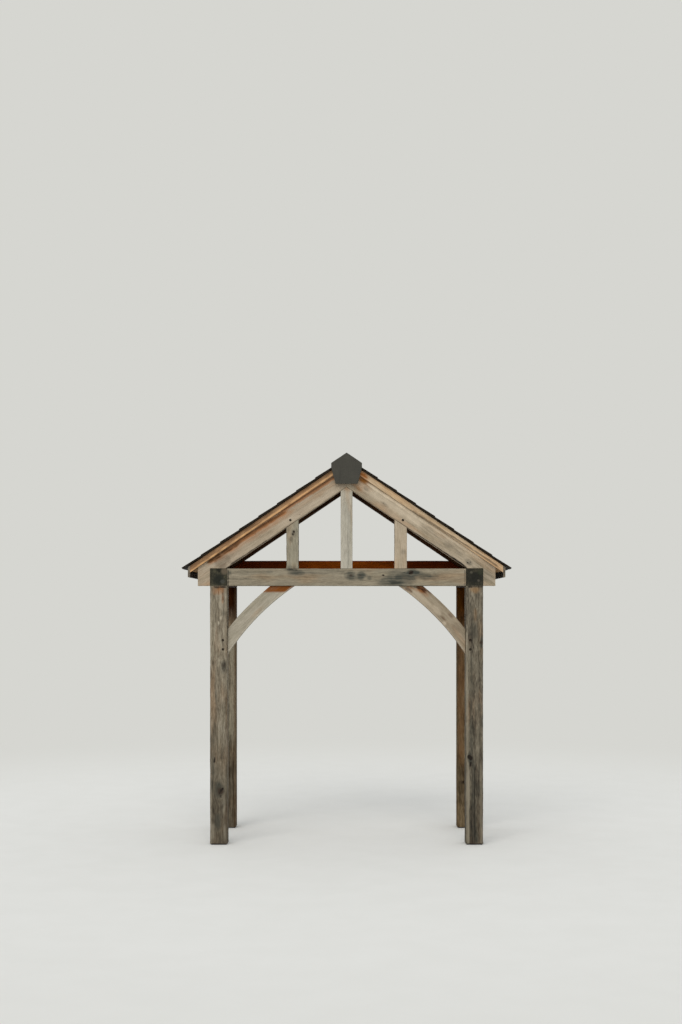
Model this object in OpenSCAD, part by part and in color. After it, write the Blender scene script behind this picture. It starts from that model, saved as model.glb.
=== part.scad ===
// Oak framed entrance porch with a slated gable roof, open on three sides.
// X runs across the porch, Y towards the house wall, Z up. The origin lies
// under the middle of the porch at ground level. All sizes are millimetres.

/* [Frame] */
// Distance between the centre lines of the left and right posts
post_span = 2065; // [1800:5:2500]
// Depth from the front face of the frame to the house wall
frame_depth = 1000; // [800:10:1300]
// Height from the ground to the underside of the wall plates
head_h = 2090; // [1950:5:2250]
// Side of the square posts
post_side = 140; // [120:5:160]
// Height of the wall plates and of the front tie beam
plate_h = 140; // [125:5:160]
// Thickness of the rafters, king post and struts, front to back
truss_t = 100; // [80:5:115]
// Width of the king post
king_w = 96; // [85:1:115]
// Width of each strut
strut_w = 100; // [85:1:115]
// Distance of each strut's centre line from the middle of the porch
strut_x = 437; // [390:1:480]
// Height of the rear tie beam
rear_tie_h = 215; // [190:1:230]
// Height of the rear tie beam's underside above the posts' tops
rear_tie_rise = 20; // [10:1:30]
// Thickness of the rear tie beam's laps over the wall plates, at their thin ends
rear_lap_t = 12; // [8:1:20]
// Width of the stopped chamfer on the inner front edge of each front post
post_chamfer = 15; // [8:1:20]
// Length over which that chamfer runs out at its upper end
chamfer_run = 30; // [20:1:60]

/* [Braces] */
// Reach of each brace along the tie beam from the post
brace_reach = 540; // [460:5:620]
// Drop of each brace down the post from the tie beam
brace_drop = 551; // [480:1:640]
// Radius of the brace's hollow edge
brace_r = 1960; // [1500:10:2600]
// Depth of the curved brace between its two edges
brace_w = 116; // [95:1:130]
// Thickness of the brace, front to back
brace_t = 90; // [70:2:110]
// Distance of the brace's front face behind the frame's front face
brace_set = 25; // [10:1:28]

/* [Joinery] */
// Thickness of every tenon
tenon_t = 32; // [26:1:38]
// Length of the post, beam, king post and strut tenons
tenon_l = 48; // [36:1:54]
// Length of the brace tenon in the post
brace_tenon_l = 62; // [54:1:75]
// Amount by which a tenon is narrower than its timber, at each side
shoulder = 18; // [12:1:22]
// Play around each tenon in its mortise
mortise_play = 0.5; // [0.2:0.1:1.5]
// Room past the end of each tenon
mortise_room = 2; // [1:0.5:4]
// Wood left between the mortises of the post and of the tie beam
tenon_gap = 4; // [2:1:10]
// Width of the plumb joint where the front rafters meet
rafter_joint = 1; // [0.4:0.2:2]
// Gap left where one timber sits against another
fit = 0.3; // [0.1:0.1:0.6]
// Radius of the oak pegs
peg_r = 9; // [8:0.5:11]
// Play around each peg
peg_play = 0.2; // [0.1:0.1:0.5]
// Depth of each peg's ends below the timber's faces
peg_sink = 3; // [1:1:8]
// Height of the lower brace peg above the brace's foot
brace_peg_low = 38; // [34:1:44]
// Distance between the two brace pegs
brace_peg_gap = 75; // [60:1:80]
// Distance of the brace pegs from the post's inner face
brace_peg_in = 35.5; // [30:0.5:38]
// Distance of the strut peg outwards from the strut's centre line
strut_peg_out = 17; // [0:1:18]
// Distance of the strut peg above the rafter's underside
strut_peg_up = 31; // [25:1:32]

/* [Roof] */
// Slope of the roof
pitch = 34; // [30:1:40]
// Depth of the front rafters, square to the slope
rafter_depth = 140; // [130:1:150]
// Depth of the middle and rear rafters, square to the slope
common_depth = 105; // [90:1:120]
// Length of the front rafter's level seat left bare inside the plate
seat_in = 14; // [5:1:25]
// Reach of the rafter feet beyond the wall plates
tail_over = 98; // [80:1:120]
// Thickness of the ridge board
ridge_board_t = 32; // [25:1:45]
// Depth of the ridge board
ridge_board_h = 150; // [135:5:180]
// Thickness of the roof boards
board_t = 12; // [9:1:18]
// Height of the slating battens
batten_h = 25; // [19:1:32]
// Width of the slating battens
batten_w = 38; // [32:1:50]
// Gap under each layer of the roof
lay = 0.2; // [0.1:0.1:0.4]
// Thickness of the bargeboards
barge_t = 22; // [18:1:28]
// Lap of the bargeboards down over the front rafters
barge_lap = 8; // [4:1:20]
// Distance between the rafter feet and the fascia boards
eave_gap = 60; // [40:1:75]
// Thickness of the fascia boards
fascia_t = 18; // [15:1:25]
// Height of the fascia's outer face
fascia_h = 82; // [70:1:100]

/* [Slates and ridge] */
// Reach of the slates in front of the frame's front face
verge_over = 45; // [35:1:60]
// Reach of the slates beyond the fascia boards
slate_over = 43; // [30:1:55]
// Thickness of one slate
slate_t = 6; // [5:0.5:7]
// Distance from one course of slates to the next, up the slope
gauge = 185; // [150:1:230]
// Distance of the lowest batten up the slope from the slates' edge
first_batten = 92; // [88:1:110]
// Number of ridge tiles
ridge_tiles_n = 3; // [2:1:4]
// Width of the joint between two ridge tiles
ridge_joint = 3; // [2:1:6]
// Distance across the ridge tiles, from leg to leg
ridge_w = 236; // [216:2:260]
// Thickness of the ridge tiles
ridge_t = 16; // [12:1:20]
// Thickness of the mortar under the ridge tiles
ridge_bed = 9; // [6:1:14]
// Width of each strip of mortar
bed_w = 34; // [26:1:40]
// Thickness of the ridge end plate
cap_t = 12; // [8:1:18]
// Height by which the end plate stands above the ridge tiles
cap_rise = 5; // [2:1:10]
// Width of the end plate across its shoulders
cap_w = 248; // [240:2:280]
// Width of the end plate along its bottom edge
cap_foot_w = 178; // [140:2:200]
// Height of the end plate
cap_h = 252; // [230:1:280]
// Height of the end plate's upright sides
cap_side = 40; // [20:1:60]

/* [Post shoes] */
// Side of the square steel plate under each post
shoe_side = 124; // [100:2:136]
// Thickness of the plate
shoe_t = 8; // [6:1:12]
// Radius of the dowel that stands on the plate
dowel_r = 10; // [8:1:12]
// Height of the dowel above the plate
dowel_h = 80; // [60:5:120]

/* [Hidden] */
$fn = 96;

// Places from front to back
total_depth = frame_depth + verge_over + cap_t;
y_cap = -total_depth / 2;
y_verge = y_cap + cap_t;
y_front = y_verge + verge_over;
y_wall = y_front + frame_depth;
y_truss_back = y_front + truss_t;
y_rear_post = y_wall - post_side;
y_rear_truss = y_wall - truss_t;
y_middle = (y_truss_back + y_rear_truss - truss_t) / 2;
y_tenon = y_front + truss_t / 2;
y_brace_mid = y_front + brace_set + brace_t / 2;

// Places across and up the frame, on the right-hand side
post_x = post_span / 2;
plate_in = post_x - post_side / 2;
plate_out = post_x + post_side / 2;
plate_top = head_h + plate_h;
tail_x = plate_out + tail_over;
fascia_in = tail_x + eave_gap;
fascia_out = fascia_in + fascia_t;
slate_x = fascia_out + slate_over;
seat_z = plate_top + fit;
under_apex = seat_z + (plate_in + seat_in) * tan(pitch);
top_apex = under_apex + rafter_depth / cos(pitch);

// Heights of the roof's layers above the rafters, square to the slope
board_n = lay;
batten_n = board_n + board_t + lay;
slate_n = batten_n + batten_h + lay;
slate_top_n = slate_n + 3 * slate_t;
ridge_in_n = slate_top_n + ridge_bed;
ridge_out_n = ridge_in_n + ridge_t;

// Distance down the slope from the apex to the slates' lowest edge
slope_len = (slate_x - slate_top_n * sin(pitch)) / cos(pitch);
courses = floor((slope_len - ridge_w / 2) / gauge);

// Centre of the brace's arcs: its hollow edge runs from the post to the tie beam
brace_foot = [plate_in, head_h - brace_drop];
brace_head = [plate_in - brace_reach, head_h];
brace_run = brace_head - brace_foot;
brace_way = brace_run / norm(brace_run);
brace_back = sqrt(pow(brace_r, 2) - pow(norm(brace_run) / 2, 2));
brace_c = (brace_foot + brace_head) / 2 + brace_back * [-brace_way[1], brace_way[0]];

// The tie beams' end tenons stop short of the post tenons that share the plate
tie_tenon_l = (post_side - tenon_t) / 2 - mortise_room - 2 * mortise_play - tenon_gap;

// Places of the pegs on the right-hand side
brace_pegs = [
    [plate_in + brace_peg_in, brace_foot[1] + brace_peg_low],
    [plate_in + brace_peg_in, brace_foot[1] + brace_peg_low + brace_peg_gap]
];
strut_peg = [
    strut_x + strut_peg_out,
    under_z(strut_x + strut_peg_out) + strut_peg_up / cos(pitch)
];

oak = [0.62, 0.56, 0.47];
grey_oak = [0.52, 0.48, 0.42];
brown_oak = [0.42, 0.27, 0.17];
fresh_timber = [0.76, 0.60, 0.43];
slate_grey = [0.20, 0.21, 0.20];
ridge_grey = [0.30, 0.29, 0.27];
mortar_grey = [0.60, 0.58, 0.53];
steel_grey = [0.35, 0.35, 0.35];

// Height of a line that lies n above the rafters' upper faces, at distance x from the middle
function roof_z(n, x) = top_apex + n / cos(pitch) - x * tan(pitch);

// Height of the front rafters' underside
function under_z(x) = roof_z(-rafter_depth, x);

// Distance from the middle at which the line n above the rafters is at height z
function roof_x(n, z) = (top_apex + n / cos(pitch) - z) / tan(pitch);

// Extrudes an outline drawn in X and Z between two places along Y
module along_y(y0, y1) {
    translate([0, y1, 0]) rotate([90, 0, 0]) linear_extrude(height = y1 - y0) children();
}

// A box between two corners
module block(low, high) {
    translate(low) cube(high - low);
}

// A peg or its hole, running from front to back
module rod_y(x, z, r, y0, y1) {
    translate([x, y1, z]) rotate([90, 0, 0]) cylinder(r = r, h = y1 - y0);
}

// Outline of a layer of the right-hand slope between two heights and two distances across
module layer(n0, n1, x0, x1) {
    polygon([
        [x0, roof_z(n0, x0)], [x1, roof_z(n0, x1)],
        [x1, roof_z(n1, x1)], [x0, roof_z(n1, x0)]
    ]);
}

// Part of the brace's curved band that lies in a box, grown by a play all round
module brace_band(low, high, play) {
    intersection() {
        translate(low - [play, play]) square(high - low + [play, play] * 2);
        translate(brace_c) difference() {
            circle(r = brace_r + brace_w + play, $fn = 360);
            circle(r = brace_r - play, $fn = 360);
        }
    }
}

// The brace's tenon in the post, or its mortise
module brace_foot_tenon(play, room) {
    half = tenon_t / 2 + play;
    along_y(y_brace_mid - half, y_brace_mid + half)
        brace_band(
            [plate_in - shoulder, brace_foot[1] + shoulder],
            [plate_in + brace_tenon_l + room, head_h - shoulder],
            play
        );
}

// The brace's tenon in the tie beam, or its mortise
module brace_head_tenon(play, room) {
    half = tenon_t / 2 + play;
    along_y(y_brace_mid - half, y_brace_mid + half)
        brace_band(
            [brace_head[0] + shoulder, head_h - shoulder],
            [plate_in - shoulder, head_h + tenon_l + room],
            play
        );
}

// The tenon on top of a post, or its mortise in the wall plate
module post_tenon(y_post, play, room) {
    low = [post_x - tenon_t / 2 - play, y_post + shoulder - play, head_h - shoulder];
    high = [
        post_x + tenon_t / 2 + play, y_post + post_side - shoulder + play,
        head_h + tenon_l + room
    ];
    block(low, high);
}

// The tenon on the end of a tie beam, or its mortise in the wall plate
module tie_tenon(y0, y1, play, room) {
    z_mid = plate_top - shoulder - tenon_t / 2;
    low = [plate_in - shoulder, y0 + shoulder - play, z_mid - tenon_t / 2 - play];
    reach = plate_in + tie_tenon_l + room;
    high = [reach, y1 - shoulder + play, z_mid + tenon_t / 2 + play];
    block(low, high);
}

// The tenon under an upright of the truss, or its mortise in the tie beam
module upright_tenon(x, w, play, room) {
    low = [x - w / 2 + shoulder - play, y_tenon - tenon_t / 2 - play, plate_top - tenon_l - room];
    high = [x + w / 2 - shoulder + play, y_tenon + tenon_t / 2 + play, plate_top + shoulder];
    block(low, high);
}

// The tenon on top of a strut, or its mortise in the front rafter
module strut_head_tenon(play, room) {
    half = tenon_t / 2 + play;
    x0 = strut_x - strut_w / 2 + shoulder - play;
    x1 = strut_x + strut_w / 2 - shoulder + play;
    along_y(y_tenon - half, y_tenon + half)
        layer(-rafter_depth - shoulder, -rafter_depth + tenon_l + room, x0, x1);
}

// The tenon on top of the king post, or its mortise in the front rafters
module king_head_tenon(play, room) {
    half = king_w / 2 - shoulder + play;
    low = [-half, y_tenon - tenon_t / 2 - play, under_z(half) - shoulder];
    high = [half, y_tenon + tenon_t / 2 + play, under_apex + tenon_l + room];
    block(low, high);
}

module brace_peg_rods(r, y0, y1) {
    for (p = brace_pegs) rod_y(p[0], p[1], r, y0, y1);
}

module strut_peg_rod(r, y0, y1) {
    rod_y(strut_peg[0], strut_peg[1], r, y0, y1);
}

// A square post that stands on its shoe and is tenoned into the wall plate
module post(y_post) {
    difference() {
        union() {
            block([plate_in, y_post, shoe_t], [plate_out, y_post + post_side, head_h]);
            post_tenon(y_post, 0, 0);
        }
        translate([post_x, y_post + post_side / 2, -shoe_t])
            cylinder(r = dowel_r + peg_play, h = 2 * shoe_t + dowel_h + mortise_room);
    }
}

// Wedge cut off a front post's inner front edge, from its foot up to the brace, where it runs out
module chamfer_cut() {
    depth = post_chamfer / sqrt(2);
    translate([plate_in, y_front, 0]) difference() {
        linear_extrude(height = brace_foot[1] + 2 * chamfer_run)
            polygon([[-1, -1], [post_chamfer + 1, -1], [-1, post_chamfer + 1]]);
        translate([0, 0, brace_foot[1]]) rotate([0, 0, 45]) translate([depth, -post_chamfer, 0])
            rotate([0, -atan(depth / chamfer_run), 0])
                cube([4 * depth, 2 * post_chamfer, 3 * chamfer_run]);
    }
}

module front_right_post() {
    color(grey_oak) difference() {
        post(y_front);
        chamfer_cut();
        brace_foot_tenon(mortise_play, mortise_room);
        brace_peg_rods(peg_r + peg_play, y_front - shoulder, y_front + post_side + shoulder);
    }
}

module rear_right_post() {
    color(brown_oak) post(y_rear_post);
}

module front_left_post() {
    mirror([1, 0, 0]) front_right_post();
}

module rear_left_post() {
    mirror([1, 0, 0]) rear_right_post();
}

// A steel plate with an upright dowel that keeps the post off the ground
module shoe(y_post) {
    y_mid = y_post + post_side / 2;
    color(steel_grey) {
        translate([post_x - shoe_side / 2, y_mid - shoe_side / 2, 0])
            cube([shoe_side, shoe_side, shoe_t]);
        translate([post_x, y_mid, 0]) cylinder(r = dowel_r, h = shoe_t + dowel_h);
    }
}

module front_right_shoe() {
    shoe(y_front);
}

module rear_right_shoe() {
    shoe(y_rear_post);
}

module front_left_shoe() {
    mirror([1, 0, 0]) front_right_shoe();
}

module rear_left_shoe() {
    mirror([1, 0, 0]) rear_right_shoe();
}

// Beam along each side, on the posts, with its end grain in the frame's front face
module right_wall_plate() {
    color(oak) difference() {
        block([plate_in, y_front, head_h], [plate_out, y_wall, plate_top]);
        for (y_post = [y_front, y_rear_post]) post_tenon(y_post, mortise_play, mortise_room);
        tie_tenon(y_front, y_front + post_side, mortise_play, mortise_room);
        tie_tenon(y_rear_truss, y_wall, mortise_play, mortise_room);
    }
}

module left_wall_plate() {
    mirror([1, 0, 0]) right_wall_plate();
}

module front_tie_beam() {
    half = plate_in - fit;
    color(oak) difference() {
        union() {
            block([-half, y_front, head_h], [half, y_front + post_side, plate_top]);
            for (side = [0, 1]) mirror([side, 0, 0]) tie_tenon(y_front, y_front + post_side, 0, 0);
        }
        upright_tenon(0, king_w, mortise_play, mortise_room);
        for (side = [0, 1]) mirror([side, 0, 0]) {
            upright_tenon(strut_x, strut_w, mortise_play, mortise_room);
            brace_head_tenon(mortise_play, mortise_room);
        }
    }
}

// Beam against the wall, lapped over the wall plates and cut to the rear rafters' undersides
module rear_tie_beam() {
    half = plate_in - fit;
    low = head_h + rear_tie_rise;
    high = low + rear_tie_h;
    bevel_n = -common_depth - fit;
    bevel_x = roof_x(bevel_n, high);
    lap_z = seat_z + rear_lap_t;
    lap_x = roof_x(bevel_n, lap_z);
    color(brown_oak) {
        along_y(y_rear_truss, y_wall) polygon([
            [-half, low], [half, low], [half, seat_z], [lap_x, seat_z], [lap_x, lap_z],
            [bevel_x, high], [-bevel_x, high],
            [-lap_x, lap_z], [-lap_x, seat_z], [-half, seat_z]
        ]);
        for (side = [0, 1]) mirror([side, 0, 0]) tie_tenon(y_rear_truss, y_wall, 0, 0);
    }
}

// Upright in the middle of the truss, pointed to fit under both rafters
module king_post() {
    half = king_w / 2;
    drop = fit / cos(pitch);
    color(oak) {
        along_y(y_front, y_truss_back) polygon([
            [-half, seat_z], [half, seat_z],
            [half, under_z(half) - drop], [0, under_z(0) - drop], [-half, under_z(half) - drop]
        ]);
        upright_tenon(0, king_w, 0, 0);
        king_head_tenon(0, 0);
    }
}

// Upright between the tie beam and the rafter
module right_strut() {
    x0 = strut_x - strut_w / 2;
    x1 = strut_x + strut_w / 2;
    drop = fit / cos(pitch);
    color(oak) difference() {
        union() {
            along_y(y_front, y_truss_back) polygon([
                [x0, seat_z], [x1, seat_z], [x1, under_z(x1) - drop], [x0, under_z(x0) - drop]
            ]);
            upright_tenon(strut_x, strut_w, 0, 0);
            strut_head_tenon(0, 0);
        }
        strut_peg_rod(peg_r + peg_play, y_front, y_truss_back);
    }
}

module left_strut() {
    mirror([1, 0, 0]) right_strut();
}

// Curved brace between the post and the tie beam, tenoned at both ends
module right_brace() {
    y0 = y_front + brace_set;
    color(oak) difference() {
        union() {
            along_y(y0, y0 + brace_t)
                brace_band(
                    [brace_head[0], brace_foot[1]],
                    [plate_in - fit, head_h - fit],
                    0
                );
            brace_foot_tenon(0, 0);
            brace_head_tenon(0, 0);
        }
        brace_peg_rods(peg_r + peg_play, y_front, y_front + post_side);
    }
}

module left_brace() {
    mirror([1, 0, 0]) right_brace();
}

// Front rafter: plumb cut at the ridge, notched over the plate, with a level foot outside it
module front_right_rafter() {
    joint = rafter_joint / 2;
    heel = plate_out + fit;
    color(oak) difference() {
        along_y(y_front, y_truss_back) polygon([
            [joint, roof_z(0, joint)], [tail_x, roof_z(0, tail_x)], [tail_x, head_h],
            [heel, head_h], [heel, seat_z], [plate_in + seat_in, seat_z], [joint, under_z(joint)]
        ]);
        strut_head_tenon(mortise_play, mortise_room);
        king_head_tenon(mortise_play, mortise_room);
        strut_peg_rod(peg_r + peg_play, y_front - shoulder, y_truss_back + shoulder);
    }
}

module front_left_rafter() {
    mirror([1, 0, 0]) front_right_rafter();
}

// Middle or rear rafter: plumb cut against the ridge board and birdsmouthed over the plate
module common_rafter(y0) {
    x0 = ridge_board_t / 2 + fit;
    heel = plate_out + fit;
    under = -common_depth;
    color(brown_oak) along_y(y0, y0 + truss_t) polygon([
        [x0, roof_z(0, x0)], [tail_x, roof_z(0, tail_x)], [tail_x, roof_z(under, tail_x)],
        [heel, roof_z(under, heel)], [heel, seat_z], [roof_x(under, seat_z), seat_z],
        [x0, roof_z(under, x0)]
    ]);
}

module middle_right_rafter() {
    common_rafter(y_middle);
}

module rear_right_rafter() {
    common_rafter(y_rear_truss);
}

module middle_left_rafter() {
    mirror([1, 0, 0]) middle_right_rafter();
}

module rear_left_rafter() {
    mirror([1, 0, 0]) rear_right_rafter();
}

module ridge_board() {
    half = ridge_board_t / 2;
    high = roof_z(0, half);
    color(brown_oak)
        block([-half, y_truss_back + fit, high - ridge_board_h], [half, y_wall, high]);
}

// Boards that close the slope under the battens
module right_roof_boards() {
    color(fresh_timber) along_y(y_front, y_wall)
        layer(board_n, board_n + board_t, rafter_joint / 2, fascia_in - fit);
}

module left_roof_boards() {
    mirror([1, 0, 0]) right_roof_boards();
}

// Battens that carry the slates, one under each course
module right_battens() {
    color(fresh_timber) for (k = [0 : courses]) {
        s = slope_len - first_batten - k * gauge;
        if (s > batten_w)
            along_y(y_front, y_wall) translate([0, top_apex]) rotate(-pitch)
                translate([s - batten_w / 2, batten_n]) square([batten_w, batten_h]);
    }
}

module left_battens() {
    mirror([1, 0, 0]) right_battens();
}

// Board along the eave, beveled to the slates, with its end flush with the bargeboard
module right_fascia() {
    top_n = slate_n - lay;
    low = roof_z(top_n, fascia_out) - fascia_h;
    color(fresh_timber) along_y(y_front - barge_t, y_wall) polygon([
        [fascia_in, low], [fascia_out, low],
        [fascia_out, roof_z(top_n, fascia_out)], [fascia_in, roof_z(top_n, fascia_in)]
    ]);
}

module left_fascia() {
    mirror([1, 0, 0]) right_fascia();
}

// Board up the verge that covers the ends of the battens and roof boards
module right_bargeboard() {
    color(fresh_timber) along_y(y_front - barge_t, y_front - fit)
        layer(-barge_lap, slate_n - lay, rafter_joint / 2, fascia_in - fit);
}

module left_bargeboard() {
    mirror([1, 0, 0]) right_bargeboard();
}

// Outline of the lapped courses, in distance down the slope and height above the rafters
module slate_section() {
    joint = rafter_joint / 2;
    top_course = slope_len - (courses - 1) * gauge;
    ridge_n = slate_top_n - slate_t * top_course / gauge;
    steps = [
        for (k = [0 : courses - 1], up = [0, 1])
            if (up == 0 || k < courses - 1)
                [slope_len - (k + up) * gauge, slate_top_n - up * slate_t]
    ];
    translate([0, top_apex]) rotate(-pitch) polygon(concat(
        [[joint / cos(pitch) - slate_n * tan(pitch), slate_n], [slope_len, slate_n]],
        steps,
        [[joint / cos(pitch) - ridge_n * tan(pitch), ridge_n]]
    ));
}

module right_slates() {
    color(slate_grey) along_y(y_verge, y_wall) slate_section();
}

module left_slates() {
    mirror([1, 0, 0]) right_slates();
}

// Mortar under both legs of the ridge tiles
module ridge_bedding() {
    x1 = ridge_w / 2 - lay;
    color(mortar_grey) for (side = [0, 1]) mirror([side, 0, 0])
        along_y(y_verge, y_wall) difference() {
            layer(slate_n + slate_t, ridge_in_n - lay, x1 - bed_w, x1);
            slate_section();
        }
}

// Outline of one angled ridge tile
module ridge_section() {
    half = ridge_w / 2;
    polygon([
        [-half, roof_z(ridge_in_n, half)], [0, roof_z(ridge_in_n, 0)],
        [half, roof_z(ridge_in_n, half)], [half, roof_z(ridge_out_n, half)],
        [0, roof_z(ridge_out_n, 0)], [-half, roof_z(ridge_out_n, half)]
    ]);
}

module ridge_tiles() {
    run = (y_wall - y_verge + ridge_joint) / ridge_tiles_n;
    color(ridge_grey) for (k = [0 : ridge_tiles_n - 1])
        along_y(y_verge + k * run, y_verge + (k + 1) * run - ridge_joint) ridge_section();
}

// Five-sided plate that closes the front end of the ridge
module ridge_end_plate() {
    apex = roof_z(ridge_out_n, 0) + cap_rise;
    shoulder_z = apex - cap_w / 2 * tan(pitch);
    color(ridge_grey) along_y(y_cap, y_verge) polygon([
        [0, apex], [cap_w / 2, shoulder_z], [cap_w / 2, shoulder_z - cap_side],
        [cap_foot_w / 2, apex - cap_h], [-cap_foot_w / 2, apex - cap_h],
        [-cap_w / 2, shoulder_z - cap_side], [-cap_w / 2, shoulder_z]
    ]);
}

// Oak pegs through the posts and brace tenons, and through the rafters and strut tenons
module frame_pegs() {
    y0 = y_front + peg_sink;
    color(brown_oak) for (side = [0, 1]) mirror([side, 0, 0]) {
        brace_peg_rods(peg_r, y0, y_front + post_side - peg_sink);
        strut_peg_rod(peg_r, y0, y_truss_back - peg_sink);
    }
}

front_left_post();
front_right_post();
rear_left_post();
rear_right_post();
front_left_shoe();
front_right_shoe();
rear_left_shoe();
rear_right_shoe();
left_wall_plate();
right_wall_plate();
front_tie_beam();
rear_tie_beam();
king_post();
left_strut();
right_strut();
left_brace();
right_brace();
front_left_rafter();
front_right_rafter();
middle_left_rafter();
middle_right_rafter();
rear_left_rafter();
rear_right_rafter();
ridge_board();
left_roof_boards();
right_roof_boards();
left_battens();
right_battens();
left_fascia();
right_fascia();
left_bargeboard();
right_bargeboard();
left_slates();
right_slates();
ridge_bedding();
ridge_tiles();
ridge_end_plate();
frame_pegs();
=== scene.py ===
"""Looks of the oak framed entrance porch: weathered timbers, slates, boards, ridge, stage and light."""

import math
from collections import namedtuple

import bmesh
import bpy
import numpy as np
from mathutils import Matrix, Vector
from mathutils.kdtree import KDTree


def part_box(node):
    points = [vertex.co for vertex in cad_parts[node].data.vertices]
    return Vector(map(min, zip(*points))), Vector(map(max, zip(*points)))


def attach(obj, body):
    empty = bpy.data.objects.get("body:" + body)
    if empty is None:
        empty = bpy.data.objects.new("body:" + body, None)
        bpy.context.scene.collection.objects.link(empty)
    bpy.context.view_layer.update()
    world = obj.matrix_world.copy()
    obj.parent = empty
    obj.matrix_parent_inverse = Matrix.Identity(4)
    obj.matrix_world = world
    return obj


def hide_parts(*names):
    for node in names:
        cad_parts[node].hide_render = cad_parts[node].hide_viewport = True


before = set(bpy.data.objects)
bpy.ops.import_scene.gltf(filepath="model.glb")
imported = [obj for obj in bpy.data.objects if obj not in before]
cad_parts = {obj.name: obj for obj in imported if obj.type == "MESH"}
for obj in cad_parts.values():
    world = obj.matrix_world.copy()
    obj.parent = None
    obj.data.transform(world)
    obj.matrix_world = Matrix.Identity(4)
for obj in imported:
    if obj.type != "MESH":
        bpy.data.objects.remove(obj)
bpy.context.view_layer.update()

# The photograph's view. A picture position is given in its 682 x 1024 frame, and lies in the plane of the
# frame's front face unless another depth is said.
PICTURE_LONG_SIDE = 1024
PICTURE_CENTRE = (341, 512)
VANISHING_POINT = (346.6, 611)
EYE_HEIGHT = 1.887
EYE_DISTANCE = 11.1
FOCAL_PIXELS = 1376
SENSOR = 36.0

# The lower edges of the front rafters in the photograph: where they would meet, and their fall per pixel
PICTURE_APEX = 486.7
PICTURE_FALL = 0.6494

# Steps of the meshes and sizes of small details, in metres
RING_STEP = 0.016
COLUMN_STEP = 0.011
FINE_RING = 0.0075
FINE_COLUMN = 0.0055
CORNER_ROOM = 0.016
SLIT = 0.00025
FLAT = 2e-5
ARRIS = 0.006
WANDER = 0.0012
CHAMFER_RUN = 0.03

# Share of its width by which the middle of an arris is set back, worn round or cut as a chamfer
WORN = 0.3
CHAMFERED = 0.46

# The sides of a timber's rings, and the ways along which pieces are cut and laid
FRONT_SIDE, HIGH_SIDE, BACK_SIDE, LOW_SIDE = range(4)
X, Y, Z = np.eye(3)

# An open drying crack: its side and its share across that side, its ends along the timber, half its width and
# its depth. Each column of points along it has a place across it and is open by a share.
Shake = namedtuple("Shake", "side at start end half depth")
SHAKE_ROOM = 0.0095
SHAKE_COLUMNS = {-2.4: 0.0, -1: 0.55, 0: 1.0, 1: 0.55, 2.4: 0.0}


def linear(colour):
    """Scene colour of an 8-bit screen colour."""
    shares = [c / 255 for c in colour]
    return *(c / 12.92 if c <= 0.04045 else ((c + 0.055) / 1.055) ** 2.4 for c in shares), 1.0


def shade(colour, share):
    """A colour made darker or paler, at most white."""
    return [min(255, c * share) for c in colour]


# Noise and easing

def lattice(cells, seed):
    """A steady random number from -1 to 1 for each whole cell."""
    i, j, k = (cells[..., axis].astype(np.int64) for axis in range(3))
    mixed = (i * 374761393 + j * 668265263 + k * 2147483647 + seed * 144665) & 0xFFFFFFFF
    mixed = ((mixed ^ (mixed >> 13)) * 1274126177) & 0xFFFFFFFF
    mixed = ((mixed ^ (mixed >> 16)) * 2246822519) & 0xFFFFFFFF
    return (mixed ^ (mixed >> 15)) / 2147483647.5 - 1


def noise(points, scale, seed, octaves=2):
    """Smooth noise from about -1 to 1 at points, with scale cells per metre along each axis."""
    total, size = 0, 0
    for octave in range(octaves):
        at = np.asarray(points, float) * np.asarray(scale, float) * 2 ** octave
        low = np.floor(at)
        part = at - low
        part = part * part * (3 - 2 * part)
        value = 0
        for corner in np.ndindex(2, 2, 2):
            share = np.prod(np.where(corner, part, 1 - part), axis=-1)
            value = value + share * lattice(low + np.array(corner), seed + octave * 17)
        total = total + value * 0.5 ** octave
        size += 0.5 ** octave
    return total / size


def ease(values, start, end):
    """Smooth step from 0 at start to 1 at end."""
    part = np.clip((np.asarray(values, float) - start) / (end - start), 0, 1)
    return part * part * (3 - 2 * part)


def unit(vector):
    vector = np.asarray(vector, float)
    return vector / np.linalg.norm(vector)


def unit_rows(vectors):
    return vectors / np.maximum(np.linalg.norm(vectors, axis=1, keepdims=True), 1e-9)


# Shapes taken from the frame

def coordinates(node):
    """All points of a CAD node."""
    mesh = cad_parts[node].data
    flat = np.empty(len(mesh.vertices) * 3)
    mesh.vertices.foreach_get("co", flat)
    return flat.reshape(-1, 3)


def area(loop):
    x, y = np.asarray(loop).T
    return 0.5 * abs(np.dot(x, np.roll(y, -1)) - np.dot(y, np.roll(x, -1)))


def outline(node, side=-1):
    """Corners in X and Z, in order, of the flat face that a CAD node shows to the front or the back."""
    points = coordinates(node)
    y = points[:, 1]
    on_face = np.abs(y - (y.min() if side < 0 else y.max())) < FLAT
    flat = np.round(points[:, [0, 2]], 5)
    edges = set()
    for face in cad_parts[node].data.polygons:
        if all(on_face[v] for v in face.vertices):
            corners = [tuple(flat[v]) for v in face.vertices]
            for edge in zip(corners, corners[1:] + corners[:1]):
                if edge[::-1] in edges:
                    edges.remove(edge[::-1])
                else:
                    edges.add(edge)
    following = dict(edges)
    loops = []
    while following:
        start, point = following.popitem()
        loop = [start]
        while point != start:
            loop.append(point)
            point = following.pop(point)
        loops.append(loop)
    loop = np.array(max(loops, key=area))
    before, after = loop - np.roll(loop, 1, 0), np.roll(loop, -1, 0) - loop
    turn = before[:, 0] * after[:, 1] - before[:, 1] * after[:, 0]
    return loop[np.abs(turn) > 1e-7]


def turns(loop):
    """Angle by which an outline turns at each corner."""
    before, after = loop - np.roll(loop, 1, 0), np.roll(loop, -1, 0) - loop
    angle = np.arctan2(after[:, 1], after[:, 0]) - np.arctan2(before[:, 1], before[:, 0])
    return np.abs((angle + math.pi) % (2 * math.pi) - math.pi)


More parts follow.
